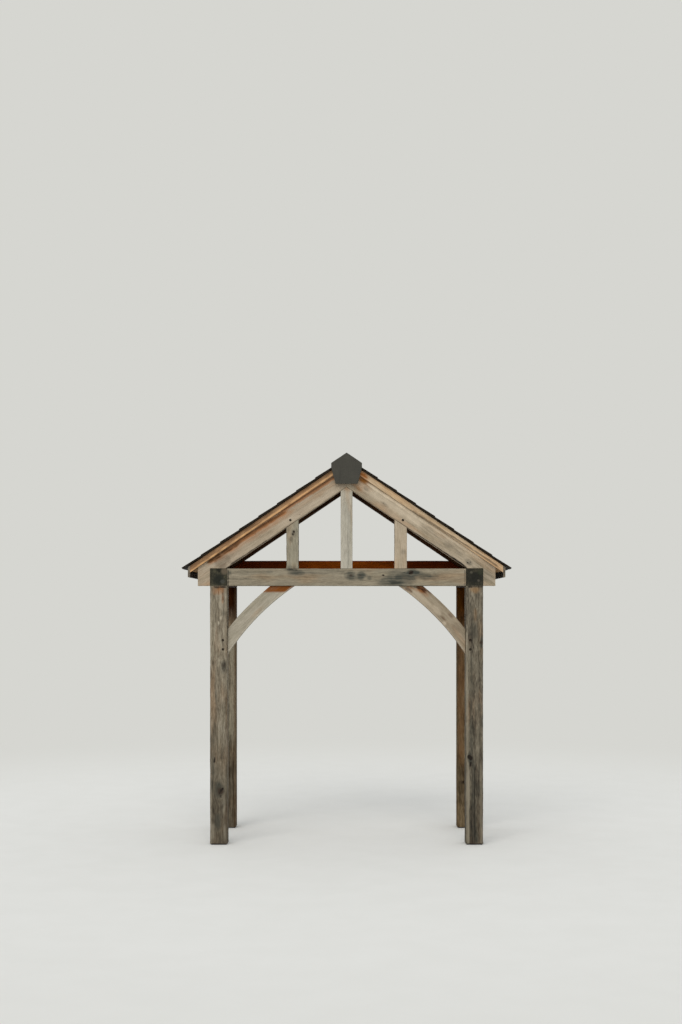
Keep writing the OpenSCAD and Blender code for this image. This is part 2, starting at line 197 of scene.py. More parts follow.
rafter_loop = outline("front_right_rafter")
rafter_sides = np.roll(rafter_loop, -1, 0) - rafter_loop
longest = rafter_sides[np.argmax(np.hypot(*rafter_sides.T))]
PITCH = math.atan(abs(longest[1] / longest[0]))
APEX = (rafter_loop[:, 1] + rafter_loop[:, 0] * math.tan(PITCH)).max()
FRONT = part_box("front_right_post")[0].y


def thickness(node):
    """Front and back of a CAD node."""
    low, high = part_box(node)
    return low.y, high.y


def down_slope(side):
    return np.array([side * math.cos(PITCH), 0, -math.sin(PITCH)])


def slope_range(points):
    """Least and greatest distance down the slope, place along Y and height above the rafters of points."""
    x, y, z = points.T
    down = np.abs(x) * math.cos(PITCH) - (z - APEX) * math.sin(PITCH)
    above = np.abs(x) * math.sin(PITCH) + (z - APEX) * math.cos(PITCH)
    return [(values.min(), values.max()) for values in (down, y, above)]


def on_slope(side, down, y, above):
    """Points at a distance down one slope, a place along Y and a height above the rafters."""
    down, y, above = np.broadcast_arrays(down, y, above)
    x = side * (down * math.cos(PITCH) + above * math.sin(PITCH))
    z = APEX - down * math.sin(PITCH) + above * math.cos(PITCH)
    return np.stack([x, y, z], -1)


def slope_section(side, down, above):
    """Corners in X and Z of a piece on one slope, from its two ends down the slope and its two faces."""
    corners = (down[0], above[0]), (down[0], above[1]), (down[1], above[1]), (down[1], above[0])
    return [on_slope(side, d, 0, n)[[0, 2]] for d, n in corners]


def solids_of(node):
    """Point sets of the separate solids in a CAD node."""
    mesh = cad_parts[node].data
    points = np.round(coordinates(node), 5)
    parent = {}

    def root(key):
        while parent.setdefault(key, key) != key:
            key = parent[key]
        return key

    keys = [tuple(p) for p in points]
    for face in mesh.polygons:
        first = root(keys[face.vertices[0]])
        for vertex in face.vertices[1:]:
            parent[root(keys[vertex])] = first
    groups = {}
    for key in set(keys):
        groups.setdefault(root(key), []).append(key)
    return [np.array(group) for _, group in sorted(groups.items())]


# Meshes

def bmesh_object(name, bm):
    """A scene object with the shape of a bmesh, which is used up."""
    mesh = bpy.data.meshes.new(name)
    bm.to_mesh(mesh)
    bm.free()
    made = bpy.data.objects.new(name, mesh)
    bpy.context.scene.collection.objects.link(made)
    return made


def new_piece(name, points, faces, attributes, material, slot, node, smooth_angle=35):
    """A shown piece that rides on the porch and stands for a CAD node, with its attributes."""
    mesh = bpy.data.meshes.new(name)
    mesh.from_pydata(np.asarray(points).tolist(), [], faces)
    for title, values in attributes.items():
        layer = mesh.attributes.new(title, "FLOAT_VECTOR", "POINT")
        layer.data.foreach_set("vector", np.asarray(values, np.float32).ravel())
    mesh.validate()
    mesh.shade_smooth()
    mesh.set_sharp_from_angle(angle=math.radians(smooth_angle))
    mesh.materials.append(material)
    piece = bpy.data.objects.new(name, mesh)
    bpy.context.scene.collection.objects.link(piece)
    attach(piece, "root")
    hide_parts(node)
    return piece


def join_parts(name, parts, material, slot, node, smooth_angle=35):
    """One piece out of many parts, each with its points, faces and attributes."""
    faces = []
    start = 0
    for points, part_faces, _ in parts:
        faces += [[v + start for v in face] for face in part_faces]
        start += len(points)
    points = np.concatenate([part[0] for part in parts])
    attributes = {title: np.concatenate([part[2][title] for part in parts]) for title in parts[0][2]}
    return new_piece(name, points, faces, attributes, material, slot, node, smooth_angle)


def grid_faces(rows, columns, count):
    """Faces between rows of points, count to a row; the last column meets the first if it is one of count."""
    return [[row * count + column, row * count + (column + 1) % count,
             (row + 1) * count + (column + 1) % count, (row + 1) * count + column]
            for row in range(rows) for column in range(columns)]


def scan(loop, fine=(), step=RING_STEP):
    """Stations along an outline's first axis, and the least and greatest second coordinate at each.

    Fine places get closer stations, and each sharp corner gets one on either side of it."""
    low, high = loop[:, 0].min() + SLIT, loop[:, 0].max() - SLIT
    stations = list(np.linspace(low, high, max(3, round((high - low) / step) + 1)))
    for corner in loop[turns(loop) > math.radians(8), 0]:
        stations += [corner - SLIT, corner + SLIT]
    for place, reach in fine:
        stations += list(np.linspace(place - reach, place + reach, 9))
    stations = np.unique(np.round([s for s in stations if low <= s <= high], 6))
    keep = np.concatenate([[True], np.diff(stations) > 0.8 * SLIT])
    stations = stations[keep]
    least, most = np.full(len(stations), 1e9), np.full(len(stations), -1e9)
    for (s0, e0), (s1, e1) in zip(loop, np.roll(loop, -1, 0)):
        if abs(s1 - s0) > 1e-9:
            part = (stations - s0) / (s1 - s0)
            on_edge = (part >= -1e-6) & (part <= 1 + 1e-6)
            across = e0 + (e1 - e0) * part
            least = np.where(on_edge, np.minimum(least, across), least)
            most = np.where(on_edge, np.maximum(most, across), most)
    return stations, least, most


class Timber:
    """A sawn timber: rings of points along its length, with worn arrises, undulating faces and open shakes.

    A chamfer is given by its corner, with its width, the length up to its stop and that of its run-out."""

    def __init__(self, quads, seed, arris=ARRIS, wander=WANDER, shakes=(), columns=COLUMN_STEP,
                 chamfers=None):
        self.quads = np.asarray(quads, float)
        self.seed = seed
        self.chamfers = chamfers or {}
        self.middle = self.quads.mean(1)
        steps = np.linalg.norm(np.diff(self.middle, axis=0), axis=1)
        self.along = np.concatenate([[0], np.cumsum(steps)])
        self.sides = np.roll(self.quads, -1, 1) - self.quads
        self.lengths = np.linalg.norm(self.sides, axis=2)
        self.build(arris, wander, shakes, columns)

    def waver(self, lane, level, cells, seed, octaves=3):
        """Noise along the timber, in a lane of its own."""
        at = np.stack(np.broadcast_arrays(self.along, lane, level), 1)
        return noise(at, (cells, 1, 1), self.seed + seed, octaves)

    def arris_at(self, corner, width):
        """Width of the worn arris or chamfer at each ring, and the share by which its middle is set back."""
        width = width * (1 + 0.55 * self.waver(corner * 7.3, 0.5, 5, 0))
        beside = self.lengths[:, [corner, corner - 1]]
        width = np.minimum(width, np.minimum(0.3 * beside.min(1), 0.24 * beside.max(0).min()))
        if corner not in self.chamfers:
            return width, np.full_like(width, WORN)
        wide, stop, run = self.chamfers[corner]
        cut = wide * np.clip((stop + run - self.along) / run, 0, 1)
        cut = cut * (1 + 0.12 * self.waver(corner * 7.3, 0.5, 6, 2))
        return np.maximum(width, cut), np.where(cut > width, CHAMFERED, WORN)

    def shake_column(self, place, shake, offset):
        """Places, depths and openness of one column of points along a shake."""
        run = (self.along - shake.start) / (shake.end - shake.start)
        gape = np.sqrt(np.clip(np.sin(np.clip(run, 0, 1) * math.pi), 0, 1))
        gape = gape * (0.75 + 0.35 * self.waver(shake.at * 91, 0, 22, 5, 2))
        drift = 0.0035 * self.waver(shake.at * 91, 0, 7, 9)
        places = place + drift + offset * shake.half * np.maximum(gape, 0.12)
        return places, shake.depth * gape * (offset == 0), gape * SHAKE_COLUMNS[offset]

    def side_columns(self, side, start, end, shakes, step):
        """Share across one side, depth and openness of every column of points at each ring."""
        whole = self.lengths[:, side].max()
        room = min(CORNER_ROOM, 0.32 * whole)
        first = max(room, 1.2 * start.max()) if side in self.chamfers else room
        last = max(room, 1.2 * (whole - end).max()) if (side + 1) % 4 in self.chamfers else room
        count = max(1, round((whole - first - last) / step))
        columns = [(place, None, 0) for place in np.linspace(first, whole - last, count + 1)]
        for shake in [shake for shake in shakes if shake.side == side]:
            centre = shake.at * whole
            columns = [c for c in columns if c[1] is not None or abs(c[0] - centre) > SHAKE_ROOM]
            columns += [(centre, shake, offset) for offset in SHAKE_COLUMNS]
        columns.sort(key=lambda c: (c[0], c[2]))
        sound = np.zeros(len(self.along))
        found = [(start, sound, sound)]
        for place, shake, offset in columns:
            found.append(self.shake_column(place, shake, offset) if shake else (place + sound, sound, sound))
        found.append((end, sound, sound))
        places, depths, gapes = np.array(found).transpose(1, 2, 0)
        return places / whole, depths, gapes

    def build(self, arris, wander, shakes, step):
        """Points of every ring: each corner, then the columns of the side that follows it."""
        widths, set_back = zip(*(self.arris_at(corner, arris) for corner in range(4)))
        lengths = np.maximum(self.lengths, 1e-6)
        ways = self.sides / lengths[..., None]
        away = [unit_rows(self.quads[:, [side, (side + 1) % 4]].mean(1) - self.middle) for side in range(4)]
        sound = np.zeros((len(self.along), 1))
        points, outward, depths, opened = [], [], [], []
        for side in range(4):
            whole = lengths[:, side].max()
            start = widths[side] * whole / lengths[:, side]
            end = whole - widths[(side + 1) % 4] * whole / lengths[:, side]
            share, depth, gape = self.side_columns(side, start, end, shakes, step)
            base = self.quads[:, side][:, None] + self.sides[:, side][:, None] * share[..., None]
            back = (set_back[side] * widths[side])[:, None]
            corner = self.quads[:, side] + (ways[:, side] - ways[:, side - 1]) * back
            diagonal = unit_rows(away[side] + away[side - 1])
            points += [corner[:, None], base]
            outward += [diagonal[:, None], np.repeat(away[side][:, None], base.shape[1], 1)]
            depths += [sound, depth]
            opened += [sound, gape]
        self.points = np.concatenate(points, 1)
        self.opened = np.concatenate(opened, 1)
        ends = ease(self.along, 0, 0.03) * ease(self.along[-1] - self.along, 0, 0.03)
        swell = wander * noise(self.points, 7, self.seed, 3)
        swell = swell + 0.35 * wander * noise(self.points, 40, self.seed + 3, 2)
        swell = (swell - 0.4 * wander) * ends[:, None] - np.concatenate(depths, 1)
        self.points = self.points + np.concatenate(outward, 1) * swell[..., None]

    def faces(self):
        """Faces with their normals outwards."""
        rings, count = self.points.shape[:2]
        last = (rings - 1) * count
        faces = grid_faces(rings - 1, count, count)
        faces += [list(range(count))[::-1], list(range(last, last + count))]
        half = len(faces) // 2
        a, b, c = self.points.reshape(-1, 3)[faces[half][:3]]
        if np.dot(np.cross(b - a, c - b), (a + c) / 2 - self.middle[half // count]) < 0:
            faces = [face[::-1] for face in faces]
        return faces


def random_shakes(seed, along, half, depth, sides=(FRONT_SIDE, HIGH_SIDE, BACK_SIDE, LOW_SIDE)):
    """One open drying crack at a random place along each side."""
    rng = np.random.default_rng(seed)
    shakes = []
    for side in sides:
        at = 0.16 + 0.68 * rng.uniform(0.3, 0.7)
        run = rng.uniform(0.15, 0.7) * along
        start = rng.uniform(0.02, 0.98) * (along - run)
        size = rng.uniform(0.6, 1.4)
        shakes.append(Shake(side, at, start, start + run, half * size, depth * size))
    return shakes


def cut_outline(node, way, across, fine=(), side=-1, step=RING_STEP):
    """Ring corners of a planar piece: its outline is scanned one way and swept through its thickness."""
    loop = outline(node, side)
    turned = np.stack([loop @ way[[0, 2]], loop @ across[[0, 2]]], 1)
    front, back = thickness(node)
    quads = []
    for station, low, high in zip(*scan(turned, fine, step)):
        ends = (low, front), (high, front), (high, back), (low, back)
        quads.append([station * way + lateral * across + y * Y for lateral, y in ends])
    return np.array(quads)


def swept(corners, y0, y1, step=RING_STEP):
    """Ring corners of a piece with one four-cornered section in X and Z, swept along Y."""
    stations = np.linspace(y0, y1, max(3, round((y1 - y0) / step) + 1))
    return np.array([[(x, y, z) for x, z in corners] for y in stations])


def box_rings(node):
    """Ring corners of a piece that fills its node's box, swept along Y."""
    low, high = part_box(node)
    return swept([(low.x, low.z), (low.x, high.z), (high.x, high.z), (high.x, low.z)], low.y, high.y)


def patch_mask(flat, way, fray, patches):
    """Mask of ragged patches, each with its centre, length along the grain, width and strength."""
    mask = np.zeros(len(flat))
    for place, length, width, strength in patches:
        offset = flat - np.array(place)
        near = np.flatnonzero(np.abs(offset).max(1) < 1.8 * max(length, width))
        offset = offset[near]
        ds = offset @ way
        rest = np.linalg.norm(offset - np.outer(ds, way), axis=1)
        far = np.hypot(ds / length, rest / width) + fray[near]
        mask[near] = np.maximum(mask[near], strength * ease(far, 1.15, 0.35))
    return mask


def grain_and_marks(points, opened, way, pith, seed, knots=(), stains=(), dark=(), fresh=(), pale=(),
                    damp=None, band=None, lean=None):
    """Wood coordinates that bend round the knots, and masks of knots, cracks, kinds of wood, painted shadow
    and painted highlight.

    The pith leans away from the timber's own line by lean, so that the growth rings crop out as arches.
    Damp_and_shade is a function that gives darkening at points, from wetness on some timbers and painted
    shade on sheltered ones, and band one that gives a band of orange unweathered wood."""
    flat = points.reshape(-1, 3)
    way = unit(way)
    side = unit(np.cross(way, Y) if abs(way[1]) < 0.9 else np.cross(way, Z))
    third = np.cross(side, way)
    local = flat - pith
    if lean is None:
        lean = np.random.default_rng(seed).normal(0, 0.02, 2)
    s, u, v = local @ way, local @ side, local @ third
    u, v = u - lean[0] * s, v - lean[1] * s
    knot_mask = np.zeros(len(flat))
    for place, radius, strength in knots:
        centre = np.array(place) - pith
        ds = s - centre @ way
        branch = centre - way * (centre @ way)
        reach = np.linalg.norm(branch)
        branch = branch / max(reach, 1e-6)
        tangent = np.cross(way, branch)
        du = local @ tangent
        outer = ease(local @ branch, 0.1 * reach, 0.6 * reach)
        bend = radius * 1.2 * np.exp(-(ds / (3 * radius)) ** 2) * np.exp(-np.abs(du) / (2.2 * radius)) * outer
        shift = bend * np.tanh(du / (0.5 * radius))
        u, v = u - shift * (tangent @ side), v - shift * (tangent @ third)
        far = np.hypot(ds / (1.25 * radius), du / radius) + 0.25 * noise(flat, 1 / radius, seed + 31, 2)
        knot_mask = np.maximum(knot_mask, strength * outer * np.clip(1.5 - far, 0, 1.5) / 1.5)
    fray = 0.38 * noise(flat, 26, seed + 41, 3)
    stains, dark, fresh, pale = (patch_mask(flat, way, fray, patches)
                                 for patches in (stains, dark, fresh, pale))
    if band:
        fresh = np.maximum(fresh, band(flat))
    damp_and_shade_share = damp(flat) if damp else np.zeros(len(flat))
    return {"grain": np.stack([s + seed * 3.71, u, v], 1),
            "marks": np.stack([knot_mask, np.maximum(opened.reshape(-1), dark), stains], 1),
            "tone": np.stack([fresh, damp_and_shade_share, pale], 1)}


def timber_part(quads, way, seed, marks=None, pith=(0, 0, 0), damp=None, lean=None, **shape):
    """Points, faces and attributes of a timber from its ring corners, its pith set off from its middle."""
    timber = Timber(quads, seed, **shape)
    centre = timber.middle.mean(0) + np.asarray(pith)
    attributes = grain_and_marks(timber.points, timber.opened, way, centre, seed, damp=damp, lean=lean,
                                 **(marks or {}))
    return timber.points.reshape(-1, 3), timber.faces(), attributes


def timber_piece(node, quads, way, material, slot, seed, marks=None, ending="_oak", **rest):
    return new_piece(node + ending, *timber_part(quads, way, seed, marks, **rest), material, slot, node)


def cut_timber(node, material, slot, seed, way, marks=None, side=-1, step=FINE_RING, columns=FINE_COLUMN,
               **rest):
    """A timber scanned upwards if it stands, or else across the porch, with closer rings at its knots."""
    axis, scanned, across = (2, Z, X) if way is Z else (0, X, Z)
    fine = [(place[axis], 3 * radius) for place, radius, _ in (marks or {}).get("knots", ())]
    quads = cut_outline(node, scanned, across, fine, side, step)
    return timber_piece(node, quads, way, material, slot, seed, marks, columns=columns, **rest)


# Materials

class Tree:
    """Short calls for building the nodes of a material or a world, with plain colours in 8 bits."""

    def __init__(self, name, library=bpy.data.materials):
        self.owner = library.new(name)
        self.owner.use_nodes = True
        self.tree = self.owner.node_tree
        self.tree.nodes.clear()

    def put(self, node, index, value):
        if isinstance(value, bpy.types.NodeSocket):
            self.tree.links.new(value, node.inputs[index])
        else:
            node.inputs[index].default_value = value

    def add(self, kind, *values, **settings):
        """A node with its settings, and with values in its first inputs."""
        node = self.tree.nodes.new("ShaderNode" + kind)
        for key, value in settings.items():
            setattr(node, key, value)
        for index, value in enumerate(values):
            self.put(node, index, value)
        return node

    def math(self, operation, *values, clamp=False):
        return self.add("Math", *values, operation=operation, use_clamp=clamp).outputs[0]

    def sum(self, *weighted):
        """Sum of values, each with its weight."""
        total = 0.0
        for value, weight in weighted:
            total = self.math("MULTIPLY_ADD", value, weight, total)
        return total

    def vector(self, operation, *values):
        outputs = self.add("VectorMath", *values, operation=operation).outputs
        return outputs["Value" if operation in ("LENGTH", "DOT_PRODUCT", "DISTANCE") else "Vector"]

    def attribute(self, name):
        return self.add("Attribute", attribute_name=name).outputs["Vector"]

    def split(self, vector):
        return self.add("SeparateXYZ", vector).outputs

    def noise(self, vector, cells, detail=3.0, rough=0.55, bend=0.0):
        """Noise with so many cells per unit, one number for all axes or one for each."""
        node = self.add("TexNoise", self.vector("MULTIPLY", vector, tuple(np.full(3, cells, float))))
        for key, value in (("Scale", 1.0), ("Detail", detail), ("Roughness", rough), ("Distortion", bend)):
            node.inputs[key].default_value = value
        return node.outputs["Fac"]

    def map(self, value, low, high, to_low=0.0, to_high=1.0):
        node = self.add("MapRange", value, low, high, to_low, to_high, interpolation_type="SMOOTHSTEP")
        return node.outputs[0]

    def ramp(self, value, *stops):
        node = self.add("ValToRGB", value)
        elements = node.color_ramp.elements
        while len(elements) < len(stops):
            elements.new(0.5)
        for element, (place, colour) in zip(elements, stops):
            element.position = place
            element.color = linear(colour)
        return node.outputs[0]

    def mix(self, share, first, second, blend="MIX"):
        node = self.add("Mix", data_type="RGBA", blend_type=blend)
        self.put(node, 0, share)
        for index, colour in ((6, first), (7, second)):
            self.put(node, index, colour if isinstance(colour, bpy.types.NodeSocket) else linear(colour))
        return node.outputs[2]

    def lay(self, colour, tint, mask, share, ends=None, blend="MIX"):
        """A colour with up to a share of a tint over it, by a mask or where a value goes between two ends."""
        cover = self.map(mask, *ends, 0.0, share) if ends else self.math("MULTIPLY", mask, share)
        return self.mix(cover, colour, tint, blend)

    def shader(self, colour, height, roughness, depth, strength, specular):
        """A plain shader whose bumps stand up to depth."""
        bump = self.add("Bump")
        shader = self.add("BsdfPrincipled")
        for node, key, value in (
                (bump, "Distance", depth), (bump, "Strength", strength), (bump, "Height", height),
                (shader, "Normal", bump.outputs[0]), (shader, "Base Color", colour),
                (shader, "Roughness", roughness), (shader, "Specular IOR Level", specular)):
            self.put(node, key, value)
        return shader.outputs[0]

    def over_background(self, share, shader, background, output):
        """A share of a background laid over a shader for the rays that show it, as the owner's final look."""
        rays = self.add("LightPath").outputs
        seen = self.math("MAXIMUM", rays["Is Camera Ray"], rays["Is Glossy Ray"])
        seen = self.math("MAXIMUM", seen, rays["Is Transmission Ray"])
        blend = self.add("MixShader", self.math("MULTIPLY", share, seen), shader, background.outputs[0])
        self.put(self.add(output), "Surface", blend.outputs[0])

    def finish(self, *look):
        """The material with a plain shader."""
        self.put(self.add("OutputMaterial"), "Surface", self.shader(*look))
        return self.owner


KNOT_WOOD = (64, 50, 37)
KNOT_CORE = (38, 31, 24)
# Colour of cracks, and of painted shadow lines and painted shade in peg holes.
CRACK_AND_SHADOW = (26, 19, 12)
SILVER = (150, 152, 146)
WARM = (200, 150, 105)


def oak(name, way, dark, mid, light, contrast=1.0, rings=0.5, stain=(50, 51, 44), fresh=(176, 116, 62),
        end=(92, 82, 66), end_mix=0.85, damp_depth=0.8, damp_tint=(118, 112, 100), end_spots=(), gloss=0.22):
    """Sawn and weathered wood whose fibres and growth rings follow the piece's grain.

    End spots colour the end grain around a place, each with its place, radius, colour and strength."""
    t = Tree(name)
    grain = t.attribute("grain")
    knot, crack_and_shadow, stained = t.split(t.attribute("marks"))
    bare_and_highlight, damp, pale = t.split(t.attribute("tone"))
    fibre = t.noise(grain, (10, 430, 430), 5, 0.65)
    streak = t.noise(grain, (3.4, 66, 66), 4, 0.62, 0.25)
    mottle = t.noise(grain, (24, 115, 115), 3, 0.6)
    blotch = t.noise(grain, (4.5, 15, 15))
    silver = t.noise(grain, (3.1, 24, 24))
    warm = t.noise(grain, (2.2, 11, 11), 2)
    pores = t.noise(grain, (75, 1300, 1300), 1)
    from_pith = t.vector("LENGTH", t.vector("MULTIPLY", grain, (0.0, 1.0, 1.0)))
    radius = t.math("MULTIPLY_ADD", t.noise(grain, (1.6, 9, 9), 2), 0.034, from_pith)
    ring = t.math("FRACT", t.math("MULTIPLY", radius, 190.0))
    late = t.map(t.math("ABSOLUTE", t.math("SUBTRACT", ring, 0.5)), 0.42, 0.12)
    checks = t.map(t.noise(grain, (4.5, 190, 190), 2), 0.61, 0.68)
    checks = t.math("MULTIPLY", checks, t.map(silver, 0.35, 0.6))

    value = t.sum((fibre, 0.3), (streak, 0.42), (mottle, 0.45), (blotch, 0.42))
    value = t.math("MULTIPLY_ADD", t.math("SUBTRACT", value, 0.795), 2.1 * contrast, 0.5)
    colour = t.ramp(value, (0.12, dark), (0.5, mid), (0.88, light))
    colour = t.lay(colour, SILVER, silver, 0.5, (0.45, 0.72), "SOFT_LIGHT")
    colour = t.lay(colour, WARM, warm, 0.35, (0.48, 0.7), "SOFT_LIGHT")
    colour = t.lay(colour, dark, late, 0.3 * rings)
    colour = t.lay(colour, dark, pores, 0.35, (0.58, 0.68))
    colour = t.lay(colour, shade(dark, 0.6), checks, 0.34 * contrast)
    # Darkening by a tint: wetness towards the feet of the front posts, and painted shade with dirt on the
    # rear posts, wall plates and rear tie beam.
    colour = t.lay(colour, damp_tint, damp, damp_depth, blend="MULTIPLY")
    orange = t.mix(streak, shade(fresh, 0.72), fresh)
    # The orange mask lays unweathered orange wood, and on the left bargeboard a painted highlight.
    colour = t.lay(colour, orange, bare_and_highlight, t.map(blotch, 0.2, 0.5, 0.7, 1.0))
    # Pale patches lay paler wood, and also painted highlights and painted light.
    colour = t.lay(colour, shade(light, 1.1), pale, 0.7)
    ragged = t.math("MULTIPLY", stained, t.map(streak, 0.28, 0.66, 1.25, 0.62), clamp=True)
    colour = t.mix(ragged, colour, stain)
    knot_rings = t.math("SINE", t.sum((knot, 46.0), (fibre, 3.0)))
    core = t.mix(t.math("MULTIPLY_ADD", knot_rings, 0.18, 0.6), KNOT_WOOD, KNOT_CORE)
    colour = t.lay(colour, core, knot, 1.0, (0.12, 0.62))
    # Cracks, the walls of peg holes and painted shadow lines are laid dark.
    colour = t.lay(colour, CRACK_AND_SHADOW, crack_and_shadow, 1.0, (0.12, 0.6))

    shape = t.add("TexCoord").outputs
    across = t.math("ABSOLUTE", t.vector("DOT_PRODUCT", shape["Normal"], tuple(unit(way))))
    rays = t.noise(grain, (1, 30, 30), 6, 0.7)
    cut = t.ramp(rays, (0.3, shade(end, 0.55)), (0.5, end), (0.7, shade(end, 1.5)))
    cut = t.lay(cut, shade(end, 0.5), late, 0.35)
    for place, reach, tint, strength in end_spots:
        far = t.vector("DISTANCE", shape["Object"], tuple(place))
        far = t.math("MULTIPLY_ADD", t.math("SUBTRACT", rays, 0.5), 1.1 * reach, far)
        cut = t.lay(cut, tint, far, strength, (1.15 * reach, 0.45 * reach))
    colour = t.lay(colour, cut, across, end_mix, (0.72, 0.86))
    height = t.sum((fibre, 0.55), (streak, 0.7), (late, 0.16), (pores, -0.22), (checks, -0.35))
    return t.finish(colour, height, t.map(streak, 0.25, 0.75, 0.92, 0.74), 0.0022, 0.6, gloss)


def slate_material():
    """Riven slate: dark, faintly green, each slate with its own tone and fine cleavage lines."""
    t = Tree("slate_riven")
    place = t.attribute("place")
    own, tail, _ = t.split(t.attribute("own"))
    ply = t.noise(place, (22, 75, 60), 5, 0.7, 0.8)
    tone = t.sum((own, 0.5), (t.noise(place, 7, 5, 0.6), 0.55))
    colour = t.ramp(tone, (0.2, (36, 38, 36)), (0.5, (50, 52, 48)), (0.85, (69, 70, 65)))
    colour = t.lay(colour, (34, 35, 33), ply, 0.5, (0.35, 0.7))
    colour = t.lay(colour, (86, 66, 46), t.noise(place, 16), 0.45, (0.66, 0.8))
    colour = t.lay(colour, (112, 114, 104), t.noise(place, 34, 4, 0.7), 0.4, (0.64, 0.74))
    colour = t.lay(colour, (36, 29, 19), tail, 0.75)
    faced = t.vector("DOT_PRODUCT", t.add("TexCoord").outputs["Normal"], (0.0, -1.0, 0.0))
    colour = t.lay(colour, (31, 22, 9), faced, 0.95, (0.5, 0.8))
    height = t.sum((ply, 0.8), (t.noise(place, (260, 300, 260)), 0.15))
    return t.finish(colour, height, t.map(ply, 0.3, 0.7, 0.55, 0.78), 0.002, 0.6, 0.15)


def ridge_material():
    """Plain dark ridge ware with a slightly sandy face and faint blooms."""
    t = Tree("ridge_ware")
    place = t.add("TexCoord").outputs["Object"]
    bloom = t.noise(place, 9, 5, 0.6)
    sand = t.noise(place, 520, 2)
    colour = t.ramp(bloom, (0.25, (50, 49, 43)), (0.5, (58, 56, 49)), (0.8, (68, 66, 59)))
    colour = t.lay(colour, (80, 78, 70), sand, 0.25, (0.4, 0.75))
    colour = t.lay(colour, (42, 41, 36), t.noise(place, (30, 30, 4)), 0.35, (0.58, 0.75))
    height = t.sum((sand, 0.5), (bloom, 0.5))
    return t.finish(colour, height, t.map(bloom, 0.3, 0.7, 0.72, 0.86), 0.001, 0.5, 0.3)


def mortar_material():
    """Pale bedding mortar with grit."""
    t = Tree("bedding_mortar")
    place = t.add("TexCoord").outputs["Object"]
    cloud = t.noise(place, 14, 4)
    cells = t.add("TexVoronoi", place)
    cells.inputs["Scale"].default_value = 420
    grit = cells.outputs["Distance"]
    colour = t.ramp(cloud, (0.25, (118, 112, 100)), (0.55, (146, 140, 128)), (0.8, (166, 160, 148)))
    colour = t.lay(colour, (98, 92, 82), grit, 0.4, (0.5, 0.0))
    height = t.sum((grit, 0.5), (cloud, 1.0))
    return t.finish(colour, height, t.map(cloud, 0.2, 0.8, 0.95, 0.85), 0.002, 0.8, 0.2)


def steel_material():
    """Dark painted steel with dust and a few rust freckles."""
    t = Tree("shoe_steel_worn")
    place = t.add("TexCoord").outputs["Object"]
    spots = t.noise(place, 90)
    colour = t.ramp(t.noise(place, 25, 4), (0.3, (13, 12, 11)), (0.7, (24, 22, 20)))
    colour = t.lay(colour, (84, 50, 30), spots, 0.6, (0.62, 0.74))
    return t.finish(colour, spots, t.map(spots, 0.4, 0.7, 0.5, 0.85), 0.0005, 0.4, 0.5)


# Timbers. The marks that the photograph shows are given by picture positions and lengths.

def picture_length(pixels, y=FRONT):
    """Real length of so many picture pixels at depth y."""
    return pixels * (EYE_DISTANCE + y - FRONT) / FOCAL_PIXELS


def picture_place(px, py, y=FRONT):
    """The place at depth y that shows at a picture position."""
    x = picture_length(px - VANISHING_POINT[0], y)
    return x, y, EYE_HEIGHT + picture_length(VANISHING_POINT[1] - py, y)


def line(x0, y0, x1, y1, width, strength):
    """A row of small patches along a line of the picture."""
    count = max(1, round(math.hypot(x1 - x0, y1 - y0) / width))
    n = np.arange(count + 1)
    return x0 + (x1 - x0) * n / count, y0 + (y1 - y0) * n / count, 1.2 * width, width, strength


def rafter_row(first, last, step, up, length, width, strength):
    """A row of patches along a front rafter, so many pixels above its lower edge in the photograph."""
    px = np.arange(first, last, step)
    return px, PICTURE_APEX + abs(px - VANISHING_POINT[0]) * PICTURE_FALL - up, length, width, strength


def marks_on(y, knots=(), **kinds):
    """Marks on a face at depth y. A knot has a place, a radius and a strength, all in the picture.

    A patch of stained, dark, orange or pale wood has a place, a length along the grain, a width and a
    strength; some dark patches are painted shadow and painted shade, and some pale and orange ones are
    painted highlights and painted light. A row of patches has a row of places."""
    marks = {"knots": [(picture_place(px, py, y), picture_length(size, y), strength)
                       for px, py, size, strength in knots]}
    for kind, patches in kinds.items():
        marks[kind] = [
            (picture_place(px, py, y), picture_length(length, y), picture_length(width, y), strength)
            for across, down, length, width, strength in patches
            for px, py in np.broadcast(across, down)]
    return marks


def foot_damp(points):
    """Damp and dirt that darken a post towards its foot."""
    return ease(points[:, 2] + 0.12 * noise(points, (9, 9, 3), 77, 3), 1.5, 0.05)


def head_dark(node, start, end, foot):
    """Shade and dirt that darken a rear post's sheltered head between two heights, and its foot a little.

    They fade on the outer side, which is open to the rain and the light, and on the side towards the house."""
    low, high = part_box(node)
    outer = max(abs(low.x), abs(high.x))

    def dark(points):
        level = points[:, 2] + 0.05 * noise(points, (12, 12, 4), 78, 3)
        open_side = ease(np.abs(points[:, 0]), outer - 0.055, outer - 0.012)
        house_side = ease(points[:, 1], low.y + 0.06, high.y - 0.012)
        shelter = (1 - 0.88 * open_side) * (1 - 0.6 * house_side)
        return shelter * np.maximum(ease(level, start, end), foot * ease(level, 0.56, 0.3))
    return dark


def plate_shade(points):
    """Shade and dirt on the inner side and underside of a wall plate behind the front truss."""
    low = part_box("right_wall_plate")[0]
    inner = ease(np.abs(points[:, 0]), low.x + 0.05, low.x + 0.012)
    under = ease(points[:, 2], low.z + 0.03, low.z + 0.008)
    return np.maximum(inner, under) * ease(points[:, 1], FRONT + 0.02, FRONT + 0.1)


def sheltered_head(points):
    """The head of the left brace, which the tie beam keeps from the rain down to a level line."""
    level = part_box("front_tie_beam")[0].z - 0.041
    rough = 0.004 * noise(points, (40, 10, 40), 79, 3)
    return ease(points[:, 2] + rough, level - 0.018, level + 0.001)


def tie_ends(points):
    """Shade and dirt towards the ends of the rear tie beam."""
    return ease(np.abs(points[:, 0]) + 0.08 * noise(points, (6, 6, 6), 80, 3), 0.3, 0.62)


def tie_back(points):
    """The side of the rear tie beam towards the house, which is brown like the posts."""
    low, high = thickness("rear_tie_beam")
    return ease(points[:, 1], low + 0.035, high - 0.004)


